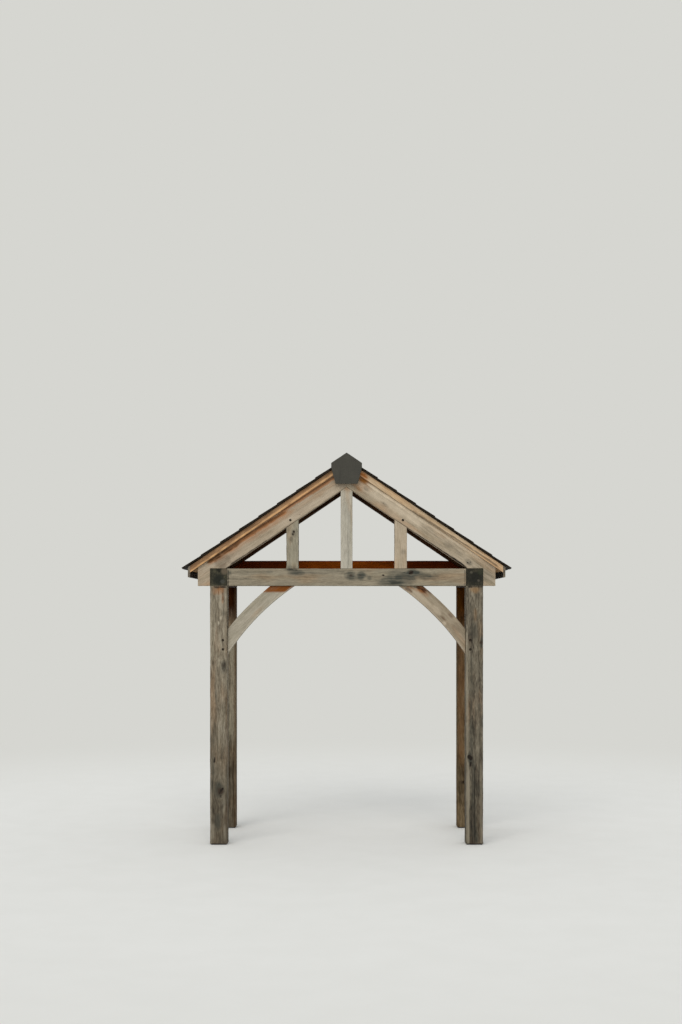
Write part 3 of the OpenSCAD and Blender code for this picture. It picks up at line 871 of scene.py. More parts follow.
CHAMFER_FACE = FRONT + 0.008
BRACE_FRONT = FRONT + 0.025
REAR_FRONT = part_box("rear_right_post")[0].y
LEFT_POST_MARKS = marks_on(
    FRONT,
    knots=[(223.7, 665.5, 2.8, 0.5), (220.3, 791.5, 3.8, 0.8), (213, 664, 1.7, 0.4)],
    stains=[(223.4, 666.5, 8.5, 3.6, 0.75), (219, 789.5, 9.5, 5.6, 0.9), (218, 821, 9, 4.5, 0.6),
        (216.3, 697, 10, 1.3, 0.4), (215.7, 712, 9, 1.2, 0.35), (214.3, 727, 10, 1.4, 0.4),
        (213.3, 745, 9, 1.4, 0.4), (214.6, 758, 7, 1.6, 0.5), (222.4, 728, 9, 1.2, 0.3),
        (213, 764, 14, 2.3, 0.6), (211.5, 786, 9, 2.2, 0.6), (216, 697, 9, 1.4, 0.5),
        (223.5, 613, 4, 2, 0.6), (211.8, 592, 9, 1.5, 0.35), (217, 740, 30, 1.2, 0.3)],
    # The dark lines under the wall plate's end (586.9) and at the foot (844.6) are painted shadow; the line
    # at 227.4 is painted shade beside the rear post.
    dark=[line(213.5, 586.9, 226, 586.9, 0.9, 0.6), line(215, 587.8, 218.4, 587.8, 1.1, 0.4),
        (222.7, 789, 1.8, 1.3, 0.8), (221, 790.8, 2.2, 1.7, 0.7), (219.6, 793, 1.8, 1.2, 0.5),
        line(222.8, 668.6, 224.6, 663, 1.1, 0.35), line(220.4, 796, 221, 797.4, 1.2, 0.5),
        line(222.4, 593, 222.5, 600, 0.9, 0.34), line(218.6, 591.5, 218.5, 595, 0.8, 0.3),
        line(211.6, 778, 211.8, 789, 0.9, 0.4), line(227.4, 588, 227.4, 606, 0.8, 0.4),
        line(210, 844.6, 227.4, 844.6, 1.3, 0.6), line(213.4, 768, 213.6, 770, 0.9, 0.6),
        line(214.9, 758, 214.2, 762, 1.0, 0.6)],
    fresh=[(219.6, 590.5, 5.5, 5.2, 0.8), (222.4, 598, 6, 1.2, 0.6), (214.6, 590.5, 6, 4, 0.45)],
    pale=[(220.3, 596, 7, 1.6, 0.55), (217.3, 596, 8, 1.1, 0.4), (211.4, 598, 12, 1.2, 0.6),
        # The two small bright patches at (220.5, 617.7) and (218.6, 623.2) are painted glints.
        (220.5, 617.7, 3, 1.1, 1.0), (218.6, 623.2, 2.6, 1.1, 1.0), (220, 605, 7, 1.4, 0.6),
        (214, 612, 12, 1.4, 0.35), (223.8, 806, 14, 1.8, 0.3), (224.5, 832, 10, 1.6, 0.3),
        (213, 832, 10, 2, 0.3), (211.2, range(790, 840, 12), 12, 1.1, 0.45)])
RIGHT_POST_MARKS = marks_on(
    FRONT,
    knots=[(469.8, 757.4, 2.2, 0.8), (481.5, 642.5, 1.8, 0.7)],
    stains=[(470, 758, 7, 3, 0.9), (481.5, 643, 8, 2.6, 0.85), (474, 631, 9, 7, 0.38),
        (474.5, 822, 26, 2.2, 0.6), (479, 788, 4, 4, 0.35), (476, 838, 6, 5.5, 0.4),
        (473, 624.5, 2.4, 1.8, 0.5), (470.8, 611, 9, 1.6, 0.25), (475, 725, 16, 1.8, 0.35),
        (479.6, 708, 8, 1.8, 0.6), (482, 721, 9, 1.4, 0.6), (471.4, range(668, 755, 18), 22, 2.0, 0.55),
        (473.6, range(770, 840, 12), 14, 2.2, 0.5)],
    # The dark lines under the wall plate's end (586.8) and at the foot (844.6) are painted shadow.
    dark=[line(468.4, 586.8, 482.3, 586.8, 0.9, 0.6), line(469, 756.6, 470.8, 758.2, 2.0, 1.0),
        line(471.2, 595.5, 474, 603.5, 0.9, 0.34), line(473.4, 591.6, 479.4, 605.3, 0.9, 0.3),
        line(470.8, 595.5, 467.4, 604, 0.9, 0.3), line(472.4, 606, 469, 614, 0.8, 0.26),
        line(474.6, 768, 474.2, 800, 1.0, 0.4), line(474.2, 800, 473.7, 816, 1.0, 0.4),
        line(473.7, 816, 475.4, 831, 1.0, 0.4), line(475.4, 831, 474, 843, 1.0, 0.4),
        line(472.2, 716, 472.6, 728, 1.0, 0.4), line(470.6, 763, 470.2, 766, 1.2, 0.6),
        line(465.6, 844.6, 483, 844.6, 1.3, 0.6)],
    fresh=[(475.2, 589.5, 4.5, 5.5, 0.7), (475.3, 615, 8, 2.2, 0.35)],
    # The pale rows at 467.2 and 468.2 are painted light on the post's inner edge.
    pale=[(467.2, range(644, 760, 18), 22, 1.3, 0.8), (468.2, range(776, 838, 14), 18, 1.8, 0.75),
        (481.3, range(776, 845, 14), 18, 2.2, 0.35), (477.6, range(676, 760, 14), 16, 1.8, 0.25),
        (470, 599.3, 4, 1.2, 0.5), (467.4, 763.4, 3.2, 1.5, 0.9), (468, 620, 14, 1.4, 0.25)])
# Painted light on the right post's inner chamfer, which faces away from the key lamp.
RIGHT_POST_MARKS["pale"] += marks_on(CHAMFER_FACE, pale=[(466.4, range(650, 838, 16), 20, 1.6, 0.6)])["pale"]
# The stain at (292, 569.8) and the dark line from 288 to 297 under the left strut's foot are painted shadow.
TIE_MARKS = marks_on(
    FRONT,
    knots=[(350.8, 575.4, 2.1, 0.5), (360.3, 575.6, 1.8, 0.45), (411, 572.5, 1.9, 0.9)],
    stains=[(351, 575.6, 7.5, 5.6, 1.0), (360.6, 575.9, 6.5, 5, 1.0), (352.5, 579.8, 7, 1.8, 0.5),
        (369, 578, 3.2, 2.4, 0.6), (388, 581.5, 13, 5.6, 0.8), (397, 580.5, 15, 8.5, 1.0),
        (405, 577.5, 15, 8.5, 1.0), (411.5, 572.6, 11, 5.6, 0.95), (399, 573.8, 13, 4.4, 0.65),
        (425, 576.8, 14, 3.6, 0.8), (433.4, 576.4, 1.8, 1.6, 0.5), (296.5, 572.3, 11, 3.8, 0.85),
        (320, 571.6, 34, 4.6, 0.4), (385, 571, 40, 1.8, 0.25), (257, 572.5, 34, 3, 0.18),
        (408.7, 580.4, 8, 5, 0.7), (400, 576.5, 11, 5, 0.85), (393.5, 579.5, 9, 4.4, 0.85),
        (418, 575.6, 10, 3.6, 0.7), (426, 579, 8, 2, 0.5), (355.6, 576.4, 8, 4.2, 0.6),
        (292, 569.8, 9, 1.8, 0.7), (396, 577.6, 8, 3.4, 0.8), (403, 579.4, 7, 3.4, 0.85),
        (270, 571.6, 5, 1.7, 0.55), (304, 577, 30, 4, 0.12), (229.6, 573, 3, 3.2, 0.6),
        (280, 582.5, 12, 2.2, 0.25), (392.5, 581.2, 8, 4.2, 1.2), (398.5, 577.8, 8, 5, 1.15),
        (404.5, 574.6, 8, 4.4, 1.05)],
    dark=[line(228.2, 570, 228.2, 585.6, 1.1, 0.5), line(229, 579.2, 249, 579.2, 0.8, 0.36),
        line(250, 576.6, 267, 576.4, 0.8, 0.26), line(288, 569.7, 297, 569.9, 1.1, 0.5),
        line(383, 575.2, 383.4, 575.2, 1.0, 0.9), line(392.5, 583, 399.5, 582.4, 2.4, 0.28),
        line(409.5, 573.4, 412.6, 571.8, 1.1, 0.6), line(464.9, 570.4, 464.9, 585.6, 1.1, 0.4),
        line(341.5, 569.9, 351.5, 569.9, 0.8, 0.4)])
KING_MARKS = marks_on(
    FRONT,
    stains=[(348.6, 530, 34, 1.5, 0.3), (347.6, 562, 9, 1.4, 0.35)],
    dark=[line(348.7, 537, 348.3, 552, 0.6, 0.24), line(348.3, 552, 347.8, 567, 0.6, 0.24),
        line(346.2, 515, 346.4, 545, 0.5, 0.14), line(350.2, 505, 350, 530, 0.5, 0.16)],
    fresh=[(347.5, 488, 4.5, 6, 0.5)])
# The stain at (292, 568), at the strut's foot, is a painted shadow.
LEFT_STRUT_MARKS = marks_on(
    FRONT,
    knots=[(293.9, 531.8, 1.3, 0.8), (292.8, 534.2, 1.2, 0.7)],
    stains=[(293.4, 533, 5, 3, 0.85), (291.7, 538.6, 4, 2, 0.65), (296.6, 530.8, 2.6, 1.4, 0.5),
        (292, 568, 3, 6, 0.5)],
    dark=[line(293.4, 531.4, 294.2, 532, 1.0, 0.5), line(292.6, 534, 292.9, 534.4, 1.0, 0.5)])
RIGHT_STRUT_MARKS = marks_on(FRONT, stains=[(402.8, 552, 3.5, 3.2, 0.45)])
# Under the bargeboard, the stained rows 14.2 to 17.8 pixels up are stain and painted shadow together, and the
# dark rows at 14.8 and 16.2 are a painted shadow line. The dark rows at -2.2 and -1.3 are painted shade along
# the lower arris.
LEFT_RAFTER_MARKS = marks_on(
    FRONT,
    knots=[(255.5, 533.6, 1.2, 0.4), (299.7, 514.6, 0.9, 0.35)],
    stains=[(256, 536, 12, 4, 0.12), (300, 512, 9, 3, 0.12), (222.5, 566, 9, 2.6, 0.4),
        (240, 551, 16, 3, 0.1), rafter_row(212, 238, 6, 14.2, 9, 2.6, 1.15),
        rafter_row(238, 286, 8, 15.4, 10, 2.0, 0.9), rafter_row(286, 338, 8, 17.8, 10, 1.3, 0.6)],
    fresh=[rafter_row(214, 238, 6, 12.8, 9, 3.2, 0.7), rafter_row(238, 286, 7, 14.6, 11, 3.1, 0.8),
        rafter_row(286, 338, 7, 17.0, 11, 2.3, 0.7), rafter_row(222, 286, 9, 11.5, 12, 4.5, 0.26)],
    pale=[rafter_row(282, 332, 12, 4, 14, 4, 0.3)],
    dark=[rafter_row(236, 286, 7, -2.2, 10, 1.1, 0.5), rafter_row(286, 336, 7, -1.3, 10, 0.9, 0.3),
        rafter_row(210, 236, 6, 14.8, 9, 1.1, 0.28), rafter_row(236, 284, 7, 16.2, 9, 1.1, 0.26),
        rafter_row(222, 223, 1, 6.5, 18, 12, 0.3)])
RIGHT_RAFTER_MARKS = marks_on(
    FRONT,
    knots=[(383.5, 503.3, 1.3, 0.35), (448.3, 545.6, 1.6, 0.25), (469.3, 562.8, 1.7, 0.3)],
    stains=[(385, 504.3, 6, 2.2, 0.4), (448.5, 545.8, 7, 3.4, 0.35), (458.7, 553.7, 6, 3.2, 0.35),
        (468.8, 562.2, 5.6, 3.2, 0.75), (366, 489, 4, 2.6, 0.5), (478, 573, 12, 7, 0.3),
        (488, 573, 12, 12, 0.34), (480, 564, 9, 3, 0.3)],
    # The dark rows at -2.4 and -1.5 pixels up are painted shade along the lower arris.
    dark=[line(467.4, 562.4, 467.8, 562.8, 1.0, 0.5), line(470.4, 562, 470.8, 562.4, 1.0, 0.4),
        rafter_row(412, 464, 7, -2.4, 10, 1.4, 0.6), rafter_row(360, 412, 7, -1.5, 10, 0.9, 0.32)],
    fresh=[(363.6, 480.4, 7.5, 4.8, 1.1), (360.4, 487, 7, 5.4, 0.8), (361.6, 484, 13, 10, 0.5)],
    # The pale rows at 16.2 and 15.4 pixels up are painted light, against the bargeboard's shadow.
    pale=[rafter_row(364, 416, 12, 10, 14, 4.5, 0.5), rafter_row(376, 412, 12, 16.2, 14, 1.9, 1.0),
        rafter_row(412, 480, 12, 15.4, 14, 1.9, 0.7)])
LEFT_BRACE_MARKS = {"band": sheltered_head}
# The dark line under the tie beam is a painted shadow, and the pale line from (404, 590.4) to (413.5, 597)
# along the head's lower arris is a painted highlight.
RIGHT_BRACE_MARKS = marks_on(
    BRACE_FRONT,
    fresh=[(425, 593.4, 6.5, 3.2, 0.4), (421, 589.4, 6, 3.6, 0.9), line(408, 586.6, 417, 590.6, 1.5, 0.45),
        line(401, 587.2, 411, 594.6, 1.1, 0.3)],
    pale=[line(404, 590.4, 413.5, 597, 1.5, 1.0), line(414, 592, 438, 612, 3.6, 0.6),
        (444.5, 623, 3, 2.2, 0.9)],
    stains=[line(406.4, 588.6, 411.4, 591.4, 1.6, 0.62), (424, 589.6, 5.6, 3.2, 1.0),
        (428.5, 591.4, 5, 1.8, 0.9), (418.5, 587.2, 4, 1.7, 0.8), (451, 615.5, 4.5, 2.6, 0.5),
        (443.6, 618.4, 4, 1.4, 0.5), (456, 628, 8, 4, 0.2)],
    dark=[line(414, 586.9, 430, 591.6, 1.0, 0.4)])
REAR_LEFT_MARKS = marks_on(
    REAR_FRONT,
    stains=[(231.5, 748, 15, 5.5, 0.5), (231.5, 771, 17, 6, 0.9), (231.5, 784, 9, 5.5, 0.7),
        (234.8, 800, 30, 1.4, 0.4), (231.5, range(790, 835, 12), 15, 6, 0.6)],
    fresh=[(235.2, range(610, 830, 24), 26, 1.5, 0.7)],
    pale=[(232, range(660, 735, 18), 18, 3.2, 0.3)])
REAR_RIGHT_MARKS = marks_on(
    REAR_FRONT,
    stains=[(462.5, 782.5, 4, 4, 1.0), (461, 774, 11, 5, 0.6), (461, 787, 12, 5, 0.75),
        (461, 800, 9, 5, 0.5)],
    fresh=[(461, range(648, 756, 20), 22, 4.5, 0.6)],
    pale=[(460, 818, 14, 5, 0.2)],
    dark=[(463, 782, 2.6, 2.4, 0.5), (461, 782.5, 5, 4.5, 0.3)])
LEFT_VERGE = {"pale": [rafter_row(284, 336, 8, 22, 14, 2.6, 0.4)]}
# The dark rows on the right bargeboard at 18.6 and 19.3 pixels up are a painted shadow line along its lower
# edge.
RIGHT_VERGE = {
    "dark": [rafter_row(416, 500, 6, 18.6, 9, 1.8, 0.4), rafter_row(418, 470, 6, 19.3, 9, 1.1, 0.42)],
    "stains": [(362.6, 476, 8, 6, 1.1), (366, 480.5, 5, 3, 0.8)],
}


# Pegs

PEG_RADIUS = 0.009
PEG_DEPTH = 0.018
PEG_PLAY = 0.0012
PEG_CORNERS = 10
BORE_CORNERS = 14
BORE_LEAD = 0.02
# Painted shade on the floors and walls of the peg holes.
HOLE_FLOOR_DARK = 0.9
HOLE_WALL_DARK = 0.25


def bore(piece, places, radius, front, back):
    """Blind holes cut into a piece from one face for its pegs, with its wood coordinates put back."""
    old = piece.data
    values = {title: np.empty(len(old.vertices) * 3, np.float32) for title in ("grain", "marks", "tone")}
    for title, flat in values.items():
        old.attributes[title].data.foreach_get("vector", flat)
    tree = KDTree(len(old.vertices))
    for vertex in old.vertices:
        tree.insert(vertex.co, vertex.index)
    tree.balance()
    cutters = []
    for number, (x, z) in enumerate(places):
        bm = bmesh.new()
        bmesh.ops.create_cone(bm, cap_ends=True, segments=BORE_CORNERS, radius1=radius, radius2=radius,
                              depth=abs(back - front))
        cutter = bmesh_object(f"cutter_{number}", bm)
        cutter.location = (x, (front + back) / 2, z)
        cutter.rotation_euler = (math.pi / 2, 0, 0)
        cut = piece.modifiers.new(f"bore_{number}", "BOOLEAN")
        cut.operation, cut.object, cut.solver = "DIFFERENCE", cutter, "EXACT"
        cutters.append(cutter)
    bpy.context.view_layer.update()
    graph = bpy.context.evaluated_depsgraph_get()
    piece.data = bpy.data.meshes.new_from_object(piece.evaluated_get(graph), preserve_all_data_layers=True,
                                                 depsgraph=graph)
    piece.modifiers.clear()
    for cutter in cutters:
        bpy.data.objects.remove(cutter)
    nearest = [tree.find(vertex.co) for vertex in piece.data.vertices]
    index = np.array([found[1] for found in nearest])
    inside = np.array([found[2] for found in nearest]) > FLAT
    depth = np.array([vertex.co.y for vertex in piece.data.vertices]) - front
    on_floor = depth[inside] > 0.9 * (back - front)
    for title, flat in values.items():
        kept = flat.reshape(-1, 3)[index]
        # The walls and floors of the holes get painted shade.
        if title == "marks":
            kept[inside, 1] = np.where(on_floor, HOLE_FLOOR_DARK, HOLE_WALL_DARK)
        piece.data.attributes[title].data.foreach_set("vector", kept.ravel())
    bpy.data.meshes.remove(old)


def peg_places():
    """Places of the pegs across and up the frame, from the CAD node's own solids."""
    points = coordinates("frame_pegs")
    front = points[np.abs(points[:, 1] - points[:, 1].min()) < 1e-4][:, [0, 2]]
    groups = []
    for point in front:
        for group in groups:
            if np.linalg.norm(np.mean(group, 0) - point) < 3 * PEG_RADIUS:
                group.append(point)
                break
        else:
            groups.append([point])
    return [(np.array(group).min(0) + np.array(group).max(0)) / 2 for group in groups]


def peg_part(x, z, low, high, rng):
    """One uneven peg with eased ends, whose grain runs along it."""
    spin = rng.uniform(0, 1)
    rings = [(low + 0.0012, 0.55), (low, 0.8), (low + 0.002, 0.97), (low + 0.012, 1.0), (high - 0.012, 0.96),
             (high - 0.002, 0.9), (high, 0.7)]
    points, grain = [], []
    for y, share in rings:
        for corner in range(PEG_CORNERS):
            angle = (corner + spin) / PEG_CORNERS * 2 * math.pi
            radius = PEG_RADIUS * share * rng.uniform(0.95, 1.0)
            points.append((x + radius * math.cos(angle), y, z + radius * math.sin(angle)))
            grain.append((y, radius * math.cos(angle), radius * math.sin(angle)))
    faces = [[a, d, c, b] for a, b, c, d in grid_faces(len(rings) - 1, PEG_CORNERS, PEG_CORNERS)]
    last = len(points) - PEG_CORNERS
    faces += [list(range(PEG_CORNERS)), list(range(last, len(points)))[::-1]]
    blank = np.zeros((len(points), 3))
    return points, faces, {"grain": grain, "marks": blank, "tone": blank}


def cut_peg_holes(bored):
    """Peg holes in the posts and rafters, and the pegs themselves."""
    low, high = thickness("frame_pegs")
    homes = {}
    for x, z in peg_places():
        side = "left" if x < 0 else "right"
        on_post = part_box(f"front_{side}_post")[1].z > z
        homes.setdefault(f"{side}_{'post' if on_post else 'rafter'}", []).append((x, z))
    for home, places in homes.items():
        bore(bored[home], places, PEG_RADIUS + PEG_PLAY, low - BORE_LEAD, low + PEG_DEPTH)
    rng = np.random.default_rng(5)
    pegs = [peg_part(x, z, low, high, rng) for x, z in peg_places()]
    wood = oak("oak_pegs_dark", Y, (30, 24, 17), (48, 39, 28), (70, 58, 42), end=(46, 38, 28))
    join_parts("frame_pegs_oak", pegs, wood, "oak_peg", "frame_pegs")


# Frame

LEFT_POST_SHAKES = [
    Shake(FRONT_SIDE, 0.36, 1.06, 1.3, 0.0011, 0.006), Shake(FRONT_SIDE, 0.14, 0.42, 0.66, 0.001, 0.005),
    Shake(FRONT_SIDE, 0.73, 1.95, 2.04, 0.0009, 0.004), Shake(HIGH_SIDE, 0.5, 0.1, 1.5, 0.0018, 0.01),
    Shake(LOW_SIDE, 0.45, 0.5, 1.9, 0.0016, 0.009), Shake(BACK_SIDE, 0.55, 0.2, 1.3, 0.0018, 0.01)]
RIGHT_POST_SHAKES = [
    Shake(FRONT_SIDE, 0.51, 0.02, 0.62, 0.0016, 0.01), Shake(HIGH_SIDE, 0.5, 0.7, 1.9, 0.0016, 0.009),
    Shake(LOW_SIDE, 0.5, 0.1, 1.1, 0.0018, 0.01), Shake(BACK_SIDE, 0.5, 0.5, 1.8, 0.0018, 0.01)]
TIE_SHAKES = [
    Shake(FRONT_SIDE, 0.4, 0.02, 0.16, 0.0008, 0.004), Shake(HIGH_SIDE, 0.5, 0.4, 1.4, 0.0014, 0.008),
    Shake(LOW_SIDE, 0.5, 0.3, 1.5, 0.0014, 0.008), Shake(BACK_SIDE, 0.5, 0.4, 1.7, 0.0014, 0.008)]
KING_SHAKES = [Shake(FRONT_SIDE, 0.64, 0.02, 0.26, 0.0007, 0.004)]


def build_front_posts(bored):
    """Front posts, with a chamfered inner arris that stops at the foot of the brace."""
    left = oak("oak_left_post", Z, (70, 62, 51), (127, 117, 99), (160, 151, 133), 1.0, 0.45,
               fresh=(150, 100, 56), damp_depth=0.68)
    right = oak("oak_right_post", Z, (50, 44, 36), (101, 93, 78), (140, 131, 113), 1.05, 0.5,
                fresh=(146, 112, 74), damp_depth=0.6)
    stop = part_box("right_brace")[0].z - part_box("front_right_post")[0].z
    for name, wood, seed, marks, pith, lean, shakes, corner, wide in (
            ("left", left, 3, LEFT_POST_MARKS, (0.012, 0.01, 0), (0.01, 0.03), LEFT_POST_SHAKES, 1, 0.0145),
            ("right", right, 8, RIGHT_POST_MARKS, (-0.01, 0.005, 0), (0.012, -0.06), RIGHT_POST_SHAKES,
             0, 0.018)):
        bored[f"{name}_post"] = cut_timber(
            f"front_{name}_post", wood, "oak_post", seed, Z, marks, 1, arris=0.007, wander=0.0022,
            shakes=shakes, pith=pith, damp=foot_damp, lean=lean,
            chamfers={corner: (wide, stop, CHAMFER_RUN)})


def build_rear_posts():
    """Rear posts, dark towards their heads with painted shade and sheltered brown."""
    for seed, node, marks, tones, brown, tint, dark_from, dark_to, foot in (
            (12, "rear_left_post", REAR_LEFT_MARKS, ((64, 56, 44), (120, 111, 93), (150, 142, 122)),
             (104, 80, 56), (112, 62, 20), 1.71, 1.935, 0.25),
            (13, "rear_right_post", REAR_RIGHT_MARKS, ((48, 38, 25), (98, 83, 60), (130, 113, 88)),
             (116, 84, 54), (185, 128, 38), 1.50, 1.97, 0)):
        wood = oak("oak_" + node, Z, *tones, 1.2, 0.7, stain=(50, 41, 29), fresh=brown, damp_depth=1.0,
                   damp_tint=tint, gloss=0.04)
        cut_timber(node, wood, "oak_sheltered", seed, Z, marks, step=0.012, columns=0.007,
                   pith=(0.01, -0.01, 0), shakes=random_shakes(seed, 2.05, 0.0014, 0.007),
                   damp=head_dark(node, dark_from, dark_to, foot))


def build_truss():
    """Tie beams, king post and struts."""
    tie = oak("oak_tie_beam", X, (88, 81, 68), (136, 126, 107), (162, 152, 131), 0.62, 0.35,
              stain=(58, 60, 53))
    cut_timber("front_tie_beam", tie, "oak_frame", 21, X, TIE_MARKS, arris=0.005, shakes=TIE_SHAKES,
               pith=(0, 0.03, -0.02))
    back_tie = oak("oak_rear_tie", X, (84, 37, 2), (124, 58, 5), (146, 78, 16), 0.7, 0.5,
                   damp_tint=(150, 112, 80), fresh=(98, 76, 54), gloss=0.04)
    cut_timber("rear_tie_beam", back_tie, "oak_sheltered", 23, X, {"band": tie_back}, step=RING_STEP,
               columns=COLUMN_STEP, arris=0.005, pith=(0, 0.02, 0.03), damp=tie_ends,
               shakes=random_shakes(23, 1.9, 0.0012, 0.006))
    king = oak("oak_king_post", Z, (124, 118, 106), (168, 162, 147), (188, 182, 168), 0.6, 0.35,
               fresh=(176, 132, 88))
    cut_timber("king_post", king, "oak_frame", 31, Z, KING_MARKS, arris=0.005, pith=(0, 0.05, 0),
               shakes=KING_SHAKES)
    left = oak("oak_left_strut", Z, (88, 83, 70), (136, 129, 111), (162, 155, 136), 0.75, 0.35)
    right = oak("oak_right_strut", Z, (124, 112, 94), (164, 149, 127), (184, 170, 149), 0.6, 0.35)
    cut_timber("left_strut", left, "oak_frame", 33, Z, LEFT_STRUT_MARKS, arris=0.0085, wander=0.003,
               pith=(0.01, 0.02, 0))
    cut_timber("right_strut", right, "oak_frame", 34, Z, RIGHT_STRUT_MARKS, arris=0.005,
               pith=(-0.02, 0.06, 0))


def build_braces():
    """Curved braces, cut across their chord, with a painted highlight along the front of their inner curve.
    """
    for side, node, marks, seed, tones, brown in (
            (-1, "left_brace", LEFT_BRACE_MARKS, 41, ((118, 110, 96), (153, 145, 128), (176, 168, 152)),
             (130, 72, 18)),
            (1, "right_brace", RIGHT_BRACE_MARKS, 42, ((104, 92, 75), (140, 127, 107), (164, 151, 131)),
             (150, 94, 46))):
        low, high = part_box(node)
        chord = unit([side * (high.x - low.x), 0, -(high.z - low.z)])
        across = np.array([chord[2], 0, -chord[0]]) * side
        quads = cut_outline(node, chord, across, step=FINE_RING)
        wood = oak("oak_" + node, chord, *tones, 0.6, 0.35, stain=(70, 36, 10), fresh=brown)
        # A pale band along the front arris of the inner curve: painted highlight.
        inner = [(tuple(place), 0.03, 0.008, 0.7) for place in quads[4:-4:4, 1]]
        marks = {**marks, "pale": [*marks.get("pale", ()), *inner]}
        timber_piece(node, quads, chord, wood, "oak_frame", seed, marks, arris=0.004, columns=FINE_COLUMN,
                     pith=(side * 0.05, 0.03, 0.06),
                     shakes=random_shakes(seed, 0.75, 0.0009, 0.004, (BACK_SIDE,)))


def build_rafters(bored):
    """Front, middle and rear rafters, cut by plumb planes."""
    left = oak("oak_left_rafter", down_slope(-1), (116, 104, 88), (158, 143, 122), (182, 168, 148), 0.55, 0.3,
               stain=(82, 52, 22), fresh=(176, 110, 56))
    right = oak("oak_right_rafter", down_slope(1), (114, 104, 86), (158, 144, 123), (188, 174, 152), 0.55,
                0.3, stain=(74, 72, 62), fresh=(138, 84, 18))
    for side, name, wood, seed, marks, pith in (
            (-1, "left", left, 51, LEFT_RAFTER_MARKS, (0.05, 0.02, 0.09)),
            (1, "right", right, 52, RIGHT_RAFTER_MARKS, (0.02, 0.04, 0.08))):
        bored[f"{name}_rafter"] = cut_timber(
            f"front_{name}_rafter", wood, "oak_frame", seed, down_slope(side), marks, arris=0.004, pith=pith,
            shakes=random_shakes(seed, 1.2, 0.0009, 0.004, (BACK_SIDE,)))
    # The middle and rear rafters are near black-brown: painted shade for the deep shade under the roof.
    for side, name in ((-1, "left"), (1, "right")):
        wood = oak(f"oak_{name}_common_rafters", down_slope(side), (28, 16, 7), (58, 38, 22), (88, 62, 40),
                   0.9, 0.5, gloss=0.05)
        for number, row in enumerate(("middle", "rear")):
            seed = 61 + number + 2 * side
            cut_timber(f"{row}_{name}_rafter", wood, "oak_sheltered", seed, down_slope(side), step=RING_STEP,
                       columns=0.016, arris=0.004, pith=(0, 0.03, 0.05),
                       shakes=random_shakes(seed, 1.2, 0.001, 0.004, (FRONT_SIDE, BACK_SIDE)))


# The dark end grain of the side beams: a picture position, a radius in pixels, a colour and a strength
END_SPOTS = {
    "left": [(218.5, 579.5, 7.0, (30, 31, 24), 1.0), (222.8, 581.5, 2.6, (62, 62, 56), 0.8),
             (224.5, 571.2, 4.0, (90, 79, 64), 0.9), (218.5, 569.6, 3.0, (26, 25, 17), 0.9)],
    "right": [(475.5, 578, 7.0, (28, 27, 21), 1.0), (478.5, 580.5, 1.5, (72, 66, 56), 0.9),
              (471.4, 572.4, 1.5, (76, 72, 60), 0.8), (480.5, 572, 3.5, (44, 46, 32), 0.7)],
}


def build_plates():
    """Wall plates along both sides, and the ridge board."""
    for side, name, seed, end in ((-1, "left", 71, (56, 53, 40)), (1, "right", 72, (44, 41, 31))):
        end_spots = [(picture_place(px, py), picture_length(size), tint, strength)
                     for px, py, size, tint, strength in END_SPOTS[name]]
        wood = oak(f"oak_{name}_wall_plate", Y, (86, 76, 62), (134, 121, 101), (164, 152, 130), 0.9, 0.5,
                   end=end, end_mix=1.0, end_spots=end_spots, damp_depth=1.0, damp_tint=(82, 50, 22))
        node = f"{name}_wall_plate"
        timber_piece(node, box_rings(node), Y, wood, "oak_frame", seed, arris=0.005,
                     pith=(0.012 * side, 0, -0.01), shakes=random_shakes(seed, 1.0, 0.0014, 0.006),
                     damp=plate_shade)
    wood = oak("oak_ridge_board", Y, (34, 20, 10), (66, 44, 28), (96, 68, 46), 0.9, 0.6)
    timber_piece("ridge_board", box_rings("ridge_board"), Y, wood, "oak_sheltered", 75, arris=0.002,
                 pith=(0.1, 0, 0.02))


# Roof timbers

BOARD_COUNT = 10
BOARD_JOINT = 0.0006
RIDGE_ROOM = 0.012
BOARD_WANDER = 0.0004
BOARD_STEP = 0.05
BATTEN_STEP = 0.08
# How far above the left bargeboard's lower face its painted highlight strip lies; it lies higher towards the
# ridge.
HIGHLIGHT_RISE = 0.006


def build_boards(side, name):
    """Roof boards with worn edges, the uppermost one clear of the ridge."""
    (down0, down1), (y0, y1), above = slope_range(coordinates(f"{name}_roof_boards"))
    wood = oak(f"softwood_{name}_boards", Y, (128, 96, 62), (172, 136, 94), (196, 164, 122), 0.8, 1.0)
    width = (down1 - down0) / BOARD_COUNT
    parts = []
    for number in range(BOARD_COUNT):
        start = down0 + number * width + BOARD_JOINT if number else down0 + RIDGE_ROOM
        section = slope_section(side, (start, down0 + (number + 1) * width - BOARD_JOINT), above)
        parts.append(timber_part(swept(section, y0, y1, BOARD_STEP), Y, 100 + number + 20 * side,
                                 arris=0.0025, wander=BOARD_WANDER, columns=0.02,
                                 pith=(0.15 * side, 0, 0.06 - 0.012 * (number % 4))))
    join_parts(f"{name}_roof_boards_laid", parts, wood, "roof_timber", f"{name}_roof_boards")


def build_battens(side, name):
    wood = oak(f"softwood_{name}_battens", Y, (104, 88, 54), (148, 128, 86), (176, 156, 112), 0.8, 0.8)
    parts = []
    for number, solid in enumerate(solids_of(f"{name}_battens")):
        down, (y0, y1), above = slope_range(solid)
        quads = swept(slope_section(side, down, above), y0, y1, BATTEN_STEP)
        parts.append(timber_part(quads, Y, 140 + number, arris=0.0015, wander=BOARD_WANDER, columns=0.012,
                                 pith=(0.05, 0, 0.04)))
    join_parts(f"{name}_battens_sawn", parts, wood, "roof_timber", f"{name}_battens")


